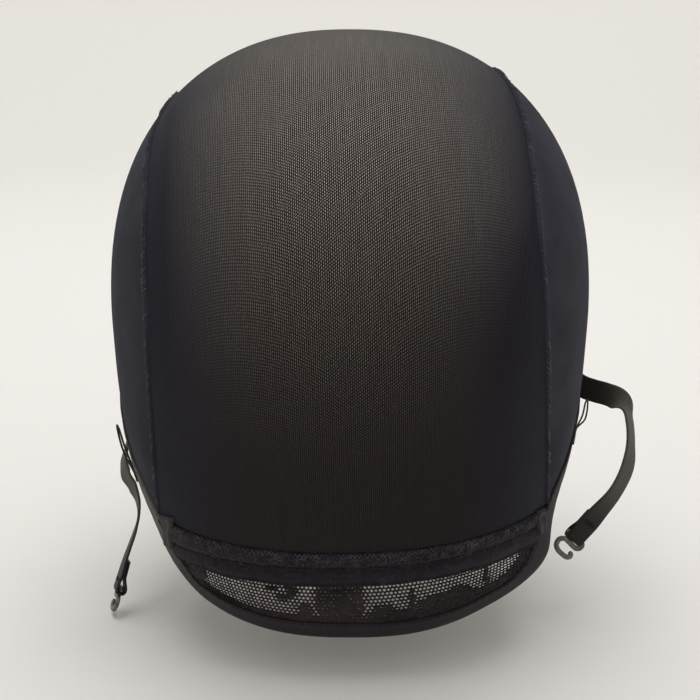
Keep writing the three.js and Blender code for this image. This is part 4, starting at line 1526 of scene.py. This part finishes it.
    def stitches(self, finish: Material) -> Piece:
        """Running stitches along the tape's inner edge.

        Args:
            finish: material of the thread.

        Returns:
            The joined threads.
        """
        cap = self.cap
        fine = np.linspace(0, 1, 4000, endpoint=False)
        run = run_length(cap.tape_line(fine, 0.0), 0)
        count = int(run[-1] / self.stitch_pitch)
        t = np.linspace(0, 1, 6)
        share = np.interp((np.arange(count)[:, None] + 0.2 + 0.6 * t) * self.stitch_pitch, run, fine)
        base = cap.across_tape(share, cap.rim_frame(share)[2] - self.stitch_in)
        paths = cap.place(base, 0.42 + 0.2 * np.sin(np.pi * t))
        return sew("edge_binding_stitches", "tape", finish, (paths, 0.17))


StrapRow = tuple[float | None, float, float, float, float, float]


@dataclass
class Strap:
    """Adjuster strap: flat woven elastic, sewn on the side panel, with its end turned round a hook.

    A row of its table holds a point of its middle line and the way its width lies there. A row
    without an X lies on the side panel.
    """

    cap: CapPattern
    side: Side
    width: float = 8.0
    end_width: float = 6.6
    taper_mm: float = 9.0
    thickness: float = 0.95
    half: float = 0.5  # half of the thickness, with some play
    seat: float = 0.6
    wire: float = 1.5  # thickness of the hook's bar
    tail: float = 10.0  # length turned back
    fold_side: dict[Side, int] = per_side(1, -1)
    stations: int = 150
    fold_steps: int = 15
    tail_steps: int = 13
    section: tuple[Span, ...] = (  # across and through, in shares of half the width and thickness
        (-1, 0.3), (-0.96, 0.85), (-0.8, 1), (-0.4, 0.94), (0, 1), (0.4, 0.94), (0.8, 1), (0.96, 0.85),
        (1, 0.3))
    pale_patch: tuple[Span, Span] = ((0.3, 0.45), (0.92, 0.72))  # shares of the length over which the painted highlight of the lit middle stretch fades in and out
    tacks: tuple[Span, ...] = ((0.03, 1.0), (0.09, 1.0), (0.955, -1.0), (0.955, 1.0))  # share, and face
    tack_share: float = 0.72
    tack_half: float = 0.007
    tack_strokes: int = 18
    rows: dict[Side, tuple[StrapRow, ...]] = per_side(
        ((None, 31, -26, 0, 0.85, -0.5), (None, 26, -35, 0, 0.88, -0.45), (-77.1, 20, -45, 0, 0.92, -0.35),
         (-77.9, 15.5, -54, -0.1, 0.95, -0.2), (-79.3, 12, -60.6, -0.15, 0.98, -0.1),
         (-80, 9, -65.2, -0.3, 0.95, 0), (-78.9, 6, -69, -0.52, 0.84, 0),
         (-76.2, 3, -72.6, -0.5, 0.85, -0.15), (-74.2, 0.5, -76.8, -0.3, 0.95, -0.05),
         (-73.8, -2, -81.5, -0.1, 0.99, 0), (-75, -4.2, -86.5, -0.1, 0.99, 0),
         (-76.6, -6, -91, -0.12, 0.99, 0), (-78.3, -7.4, -95.8, -0.16, 0.98, 0.05),
         (-79.8, -8.5, -100.6, -0.22, 0.97, 0.05), (-81.4, -9.4, -105, -0.18, 0.98, 0.08)),
        ((None, 29, -34.5, 0, 0, 1), (None, 22, -35.5, 0, 0, 1), (79.3, 15.5, -36.8, 0.1, 0, 1),
         (81.7, 10, -38, 0.1, 0.2, 1), (84.6, 5.5, -38.2, 0, 0.25, 1), (88.9, 1, -38.5, -0.2, 0.35, 0.9),
         (92, -2.5, -39.3, -0.05, 0.65, 0.7), (94.3, -5.5, -41.6, 0.12, 0.85, 0.4),
         (95.3, -8, -45.8, 0.34, 0.92, 0.1), (95.6, -10, -53.1, 0.45, 0.88, 0),
         (94.4, -12, -61, 0.66, 0.72, -0.16), (90.3, -14, -69, 0.66, 0.66, -0.36),
         (84.4, -15.3, -76, 0.7, 0.45, -0.55), (77.2, -16.95, -84.2, 0.58, 0.05, -0.81)))

    def __post_init__(self) -> None:
        """Works out the strap's middle line, the way its width lies and the radius of its fold."""
        cap = self.cap
        self.fold = self.wire / 2 + GAP + self.half
        spots, across = [], []
        for x, y, z, *way in self.rows[self.side]:
            lie, spot = np.array(way, float), np.array([x or 0, y, z], float)
            if x is None:
                panel = cap.form.beside(self.side, *spot[1:])
                normal = cap.form.normal(panel)
                spot, lie = cap.place(panel, self.seat + self.half), lie - normal * (lie @ normal)
            spots.append(spot)
            across.append(lie)
        self.middle, self.lie = SmoothCurve(np.array(spots)), SmoothCurve(np.array(across))

    def frames(self, share: Array) -> tuple[Array, Array, Array, Array]:
        """Middle, direction, face normal and width direction at shares of the strap's length."""
        along = self.middle.tangent(share)
        face = unit(np.cross(along, self.lie.at(share)))
        return self.middle.at(share), along, face, np.cross(face, along)

    def hook_seat(self) -> tuple[Array, Array, Array, Array]:
        """Centre of the hook's bar, the bar's direction, the strap's direction and its face there."""
        centre, along, face, width = (v[0] for v in self.frames(np.array([1.0])))
        face = face * self.fold_side[self.side]
        return centre + face * self.fold, width, along, face

    def build(self, finish: Material) -> Piece:
        """Carries a flat rounded section along the strap, in a half circle round the hook's bar and back.

        Args:
            finish: material of the woven elastic.

        Returns:
            The strap.
        """
        sign = self.fold_side[self.side]
        share = self.middle.even(self.stations)
        centre, _, face, width = self.frames(share)
        bar, _, end_along, end_face = self.hook_seat()
        angle = np.linspace(0, np.pi, self.fold_steps)[1:, None]
        out = -end_face * np.cos(angle) + end_along * np.sin(angle)
        back = np.linspace(0, 1, self.tail_steps)[1:]
        strap_run = run_length(centre, 0)
        laid, _, laid_face, laid_way = self.frames(
            np.interp(strap_run[-1] - back * self.tail, strap_run, share))
        rise = lerp(2 * self.fold, self.thickness + GAP, ramp(back, 0, 0.5))  # comes down onto the strap
        middles = np.concatenate([centre, bar + out * self.fold, laid + sign * laid_face * rise[:, None]])
        faces = np.concatenate([sign * face, -out, -sign * laid_face])
        ways = np.concatenate([width, np.broadcast_to(width[-1], out.shape), laid_way])
        run = run_length(middles, 0)
        end = run[self.stations - 1]
        half = lerp(self.width, self.end_width, ramp(run, end - self.taper_mm, end))[:, None, None] / 2
        upper = np.array(self.section)
        section = np.concatenate([upper, upper[::-1] * (1, -1)])
        rings = (middles[:, None] + ways[:, None] * section[:, :1] * half
                 + faces[:, None] * section[:, 1:] * self.thickness / 2)
        # painted highlight: the strap's middle stretch is paler, where its face is lit
        from_start, to_end = (ramp(run / end, *fade_span) for fade_span in self.pale_patch)
        across, along, pale_patch = (np.broadcast_to(row, rings.shape[:2]) for row in (
            section[:, 0] * self.width / 2, run[:, None], (from_start * to_end)[:, None]))
        tag = self.side.tag
        piece = make_piece(f"strap_{tag}_elastic", rings, carried_quads(len(rings), len(section)), finish,
                           np.stack([across, along], -1), {"pale_patch": pale_patch}, crease=70.0)
        return enlist(piece, "webbing", f"strap_{tag}")

    def stitches(self, finish: Material) -> Piece:
        """Tacks: two bars where the strap is sewn on, and a zigzag across both faces of its folded end.

        Args:
            finish: material of the thread.

        Returns:
            The joined threads.
        """
        zig = np.linspace(0, 1, 80)
        reach = self.tack_share * self.end_width / 2 * (2 * zig - 1)
        paths = []
        for at, sign in self.tacks:
            share = np.clip(at + self.tack_half * zigzag(zig, self.tack_strokes), 0, 1)
            centre, _, face, width = self.frames(share)
            outer = face if np.sum(face[0] * centre[0]) > 0 else -face
            paths.append(centre + width * reach[:, None] + sign * outer * (self.thickness / 2 + 0.06))
        return sew(f"strap_{self.side.tag}_tacks", "webbing", finish, (np.array(paths), 0.13))


@dataclass
class Hook:
    """Moulded hook: a bar in the strap's fold, a second bar just beyond it and an open C below that."""

    strap: Strap
    in_plane: float = 0.9
    through: float = 0.72
    bar_share: float = 0.8  # thickness of the bar in the fold, as a share of the rest
    bar_end: Span = (6.5, 9.0)  # length over which the bar grows to the full thickness
    stations: int = 140
    end_steps: int = 8
    sides: int = 14
    squareness: float = 0.8
    path: tuple[Span, ...] = (  # along the bar and away from it
        (-3.8, 0), (3.2, 0), (4.1, 0.8), (4.1, 2.1), (3.2, 2.95), (-2.4, 2.95), (-3.7, 4.2), (-3.3, 6.2),
        (-1.6, 7.3), (1, 7.5), (2.8, 7.2), (3.4, 6.3), (2.9, 5.6), (2, 5.5))

    def build(self, finish: Material) -> Piece:
        """Carries a rounded oval along the hook's line, with both ends closed as half balls.

        Args:
            finish: material of the plastic.

        Returns:
            The hook.
        """
        bar, width, along, face = self.strap.hook_seat()
        rows = np.array(self.path)
        line = SmoothCurve(bar + rows[:, :1] * width + rows[:, 1:] * along)
        fine = line.even(600)
        run = run_length(line.at(fine), 0)
        lead = self.in_plane * (1 - np.cos(np.linspace(0.12, np.pi / 2, self.end_steps)))
        body = np.linspace(self.in_plane, run[-1] - self.in_plane, self.stations)[1:-1]
        place = np.concatenate([lead, body, run[-1] - lead[::-1]])
        share = np.interp(place, run, fine)
        left = np.minimum(np.minimum(place, run[-1] - place) / self.in_plane, 1.0)
        ball = np.sqrt(1 - (1 - left) ** 2)
        inside = unit(np.cross(face[None], line.tangent(share)))
        turn = 2 * np.pi * np.arange(self.sides) / self.sides
        flat, high = (np.abs(wave) ** self.squareness * np.sign(wave)
                      for wave in (np.cos(turn), np.sin(turn)))
        scale = (ball * lerp(self.bar_share, 1.0, ramp(place, *self.bar_end)))[:, None, None]
        rings = (line.at(share)[:, None] + inside[:, None] * (self.in_plane * flat[:, None]) * scale
                 + face * (self.through * high[:, None]) * scale)
        tag = self.strap.side.tag
        piece = make_piece(f"hook_{tag}_moulded", rings, carried_quads(len(rings), self.sides), finish,
                           crease=80.0)
        return enlist(piece, "plastic", f"hook_{tag}")


@dataclass
class EarLoop:
    """Thin round elastic, doubled into a loop and sewn to the binding by both ends."""

    cap: CapPattern
    side: Side
    cords: dict[Side, float] = per_side(0.7, 0.6)  # thickness of the elastic
    seat: float = 0.6
    base_share: float = 0.4  # distance of the strands at base and shoulder, as shares of the middle
    shoulder_share: float = 0.85
    shoulder: float = 0.72  # where the shoulder is between middle and tip
    sewn: float = 4.0
    sewn_at: Span = (1.0, 0.45)  # points of a strand along its sewn end
    sewn_in: float = 1.3
    apart: float = 0.55  # half the distance of the sewn ends, in thicknesses
    searched: Span = (0.1, 0.45)  # shares of the rim between which the base is searched
    start_way: Point = (1.0, 0.2, 0.1)  # fixed direction that every ring starts from
    stations: int = 120
    sides: int = 10
    spots: dict[Side, tuple[Point, ...]] = per_side(  # base, middle, tip and half of the gap at the middle
        ((-71.9, -29.5, -57.5), (-75.6, -20, -51.8), (-78.9, -12, -46), (-0.4, 1.9, -1.7)),
        ((77.2, -20, -46.5), (78.6, -15, -42.2), (80.3, -10.8, -37.2), (0.8, 2.2, -1.2)))

    def __post_init__(self) -> None:
        """Takes the thickness of this side's elastic."""
        self.cord = self.cords[self.side]

    def line(self) -> SmoothCurve:
        """Middle line of the elastic.

        Returns:
            A curve out along one strand, round the tip and back along the other, sewn at both ends.
        """
        cap = self.cap
        base, middle, tip, spread = np.array(self.spots[self.side], float)
        shoulder = lerp(middle, tip, self.shoulder)
        seat = self.seat + self.cord / 4
        rim = self.side.value * np.linspace(*self.searched, 1401)
        edge = cap.across_tape(rim, np.full(rim.shape, self.sewn_in))
        nearest = int(np.argmin(np.linalg.norm(edge - base, axis=-1)))
        share = np.interp(self.sewn * np.array(self.sewn_at), run_length(edge[nearest:], 0), rim[nearest:])

        def strand(way: float) -> list[Array]:
            """Five points of one strand, from its sewn end on the binding outwards.

            Args:
                way: -1 for the strand that goes out, 1 for the one that comes back.

            Returns:
                The points in order.
            """
            down = cap.across_tape(share, self.sewn_in - self.apart * self.cord * way)
            root = cap.form.project(base + spread * way * self.base_share)
            return [*cap.place(down, seat), cap.place(root, seat), middle + spread * way,
                    shoulder + spread * way * self.shoulder_share]

        return SmoothCurve(np.array([*strand(-1.0), tip, *strand(1.0)[::-1]]))

    def build(self, finish: Material) -> Piece:
        """Args:
            finish: material of the elastic.

        Returns:
            The loop.
        """
        curve = self.line()
        share = curve.even(self.stations)
        middle, tangent = curve.at(share), curve.tangent(share)
        across = unit(np.cross(tangent, np.cross(np.array(self.start_way), tangent)))
        other = np.cross(tangent, across)
        turn = 2 * np.pi * np.arange(self.sides) / self.sides
        rings = middle[:, None] + self.cord / 2 * (np.cos(turn)[:, None] * across[:, None]
                                                   + np.sin(turn)[:, None] * other[:, None])
        run = run_length(middle, 0)
        uv = np.stack(np.broadcast_arrays(turn * self.cord / 2, run[:, None]), -1)
        tag = self.side.tag
        piece = make_piece(f"ear_loop_{tag}_elastic", rings, carried_quads(len(rings), self.sides), finish,
                           uv, crease=80.0)
        enlist(piece, "loop", f"ear_loop_{tag}")
        path = (middle + FORM_CENTRE) * MM
        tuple(path[0])
        return piece


@dataclass
class Studio:
    """Pale seamless bowl round the cap, soft lights over it, and the camera at the photo's angle."""

    floor_height: float = -0.1995
    bowl_radius: float = 2.4
    bowl_bend: float = 1.0
    wall_top: float = 2.4
    turns: int = 96
    camera_distance: float = 0.56
    camera_height_deg: float = 13.0
    target: Point = (0.0, 0.0, -0.1068)
    wall_target: Point = (0.0, 2.4, 0.5)
    lens: float = 84.1
    air: str = "f2f2f1"
    air_strength: float = 0.44

    def backdrop(self, finish: Material) -> Piece:
        """Surface of revolution: a flat floor, a quarter circle and an upright wall, turned about Z.

        Args:
            finish: material of the paper.

        Returns:
            The backdrop.
        """
        bend = np.radians(np.linspace(0, 90, 24))
        flat = self.bowl_radius - self.bowl_bend
        reach = np.concatenate([np.linspace(0.02, flat, 12)[:-1], flat + self.bowl_bend * np.sin(bend),
                                np.full(4, self.bowl_radius)])
        height = np.concatenate([np.zeros(11), self.bowl_bend * (1 - np.cos(bend)),
                                 np.linspace(self.bowl_bend, self.wall_top, 5)[1:]]) + self.floor_height
        turn = 2 * np.pi * np.arange(self.turns) / self.turns
        grid = np.stack(np.broadcast_arrays(np.sin(turn) * reach[:, None], np.cos(turn) * reach[:, None],
                                            height[:, None]), -1)
        number = np.arange(len(reach) * self.turns).reshape(-1, self.turns)
        after = np.roll(number, -1, 1)
        quads = np.stack([number[:-1], number[1:], after[1:], after[:-1]], -1).reshape(-1, 4)
        mesh = bpy.data.meshes.new("studio_bowl")
        mesh.from_pydata(grid.reshape(-1, 3).tolist(), [], quads.tolist() + [number[0].tolist()])
        mesh.shade_smooth()
        mesh.materials.append(finish)
        bowl = bpy.data.objects.new("studio_bowl", mesh)
        bpy.context.scene.collection.objects.link(bowl)
        return bowl

    def aimed(self, name: str, data: bpy.types.ID, place: Any, aim: Point) -> Piece:
        """Lamp or camera at a place, looking at a point.

        Args:
            name: name of the object.
            data: its lamp or camera.
            place: where it stands.
            aim: what it looks at.

        Returns:
            The linked object.
        """
        thing = bpy.data.objects.new(name, data)
        thing.location = place
        thing.rotation_euler = (Vector(aim) - Vector(place)).to_track_quat("-Z", "Y").to_euler()
        bpy.context.scene.collection.objects.link(thing)
        return thing

    def build(self) -> None:
        """Sets the camera, world light, square soft lamps, backdrop and colour handling."""
        scene = bpy.context.scene
        camera = bpy.data.cameras.new("camera")
        camera.lens, camera.sensor_width = self.lens, 36.0
        rise = math.radians(self.camera_height_deg)
        eye = Vector(self.target) + self.camera_distance * Vector((0, -math.cos(rise), math.sin(rise)))
        scene.camera = self.aimed("camera", camera, eye, self.target)
        world = bpy.data.worlds.new("studio_air")
        world.use_nodes = True
        sky = world.node_tree.nodes["Background"]
        sky.inputs["Color"].default_value = linear(self.air)
        sky.inputs["Strength"].default_value = self.air_strength
        scene.world = world
        for name, place, size, watts, aim in (
                ("overhead_softbox", (0.0, -0.2, 1.3), 1.2, 12.5, self.target),
                ("wall_wash", (0.0, 0.9, 1.6), 1.8, 13.5, self.wall_target),
                ("back_fill", (0.3, -1.5, 0.6), 1.2, 2.0, self.target)):
            lamp = bpy.data.lights.new(name, "AREA")
            lamp.size, lamp.energy = size, watts
            self.aimed(name, lamp, place, aim)
        self.backdrop(StudioPaper().material())
        scene.view_settings.view_transform = "Standard"


def main() -> None:
    """Builds the studio and every sub-assembly in order."""
    logging.basicConfig(level=logging.INFO)
    LOG.info("dressing %d solids", len(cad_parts))
    Studio().build()
    cap = CapPattern()
    thread = Thread().material()
    dark = Thread(name="black_sewing_thread", base="17151a", pale="2b282c").material()
    lint = Thread(name="elastic_lint", base="3c383d", pale="6a6568").material()
    # the tape's paler colour is painted highlight at the left nape corner
    tape = Cloth(
        name="folded_binding_tape", base="281e25", cloud="20181e", roughness=0.7, sheen=0.06, specular=0.1,
        rib_mm=0.6, weft_mm=0.6, depth_mm=0.04, shade=0.12, fleck_share=0.08, pale_patch="4f4c48").material()
    knit = Cloth(
        name="stretch_knit_nylon", base="34343d", cloud="2a2932", roughness=0.9, sheen=0.05,
        sheen_tint="ccd0da", specular=0.06, rib_mm=0.7, weft_mm=0.9, depth_mm=0.05).material()
    band = Cloth(
        name="overlocked_elastic", base="201d23", cloud="19171c", sheen=0.05, specular=0.1,
        rib_mm=1.2, weft_mm=0.7, fleck_share=0.25).material()
    net = Cloth(
        name="raschel_net", base="342d2e", cloud="1f1b1d", sheen=0.03, specular=0.08,
        rib_mm=0.5, weft_mm=0.5).material()
    # the webbing's paler colour is painted highlight on the straps' lit stretch
    webbing = Cloth(
        name="woven_elastic_webbing", base="302c2b", cloud="282524", roughness=0.65, sheen=0.08,
        specular=0.15, rib_mm=1.0, weft_mm=0.75, depth_mm=0.12, pale_patch="4b4842").material()
    elastic = Cloth(
        name="braided_elastic_cord", base="201e20", cloud="29272a", sheen=0.06, specular=0.15,
        rib_mm=0.6, weft_mm=0.8, depth_mm=0.06).material()
    plastic = MouldedPlastic().material()
    for side in Side:
        EarLoop(cap, side).build(elastic)
        strap = Strap(cap, side)
        strap.build(webbing)
        strap.stitches(dark)
        Hook(strap).build(plastic)
    binding = EdgeBinding(cap)
    binding.build(tape)
    binding.ends(tape)
    binding.stitches(dark)
    for side in Side:
        panel = SidePanel(cap, side)
        panel.build(knit)
        panel.stitches(thread)
    CrownPanel(cap).build(PowerMesh().material())
    nape = NapeBand(cap)
    nape.build(band)
    nape.stitches(dark, lint)
    NapeLace(cap).build(net)


if __name__ == "__main__":
    main()
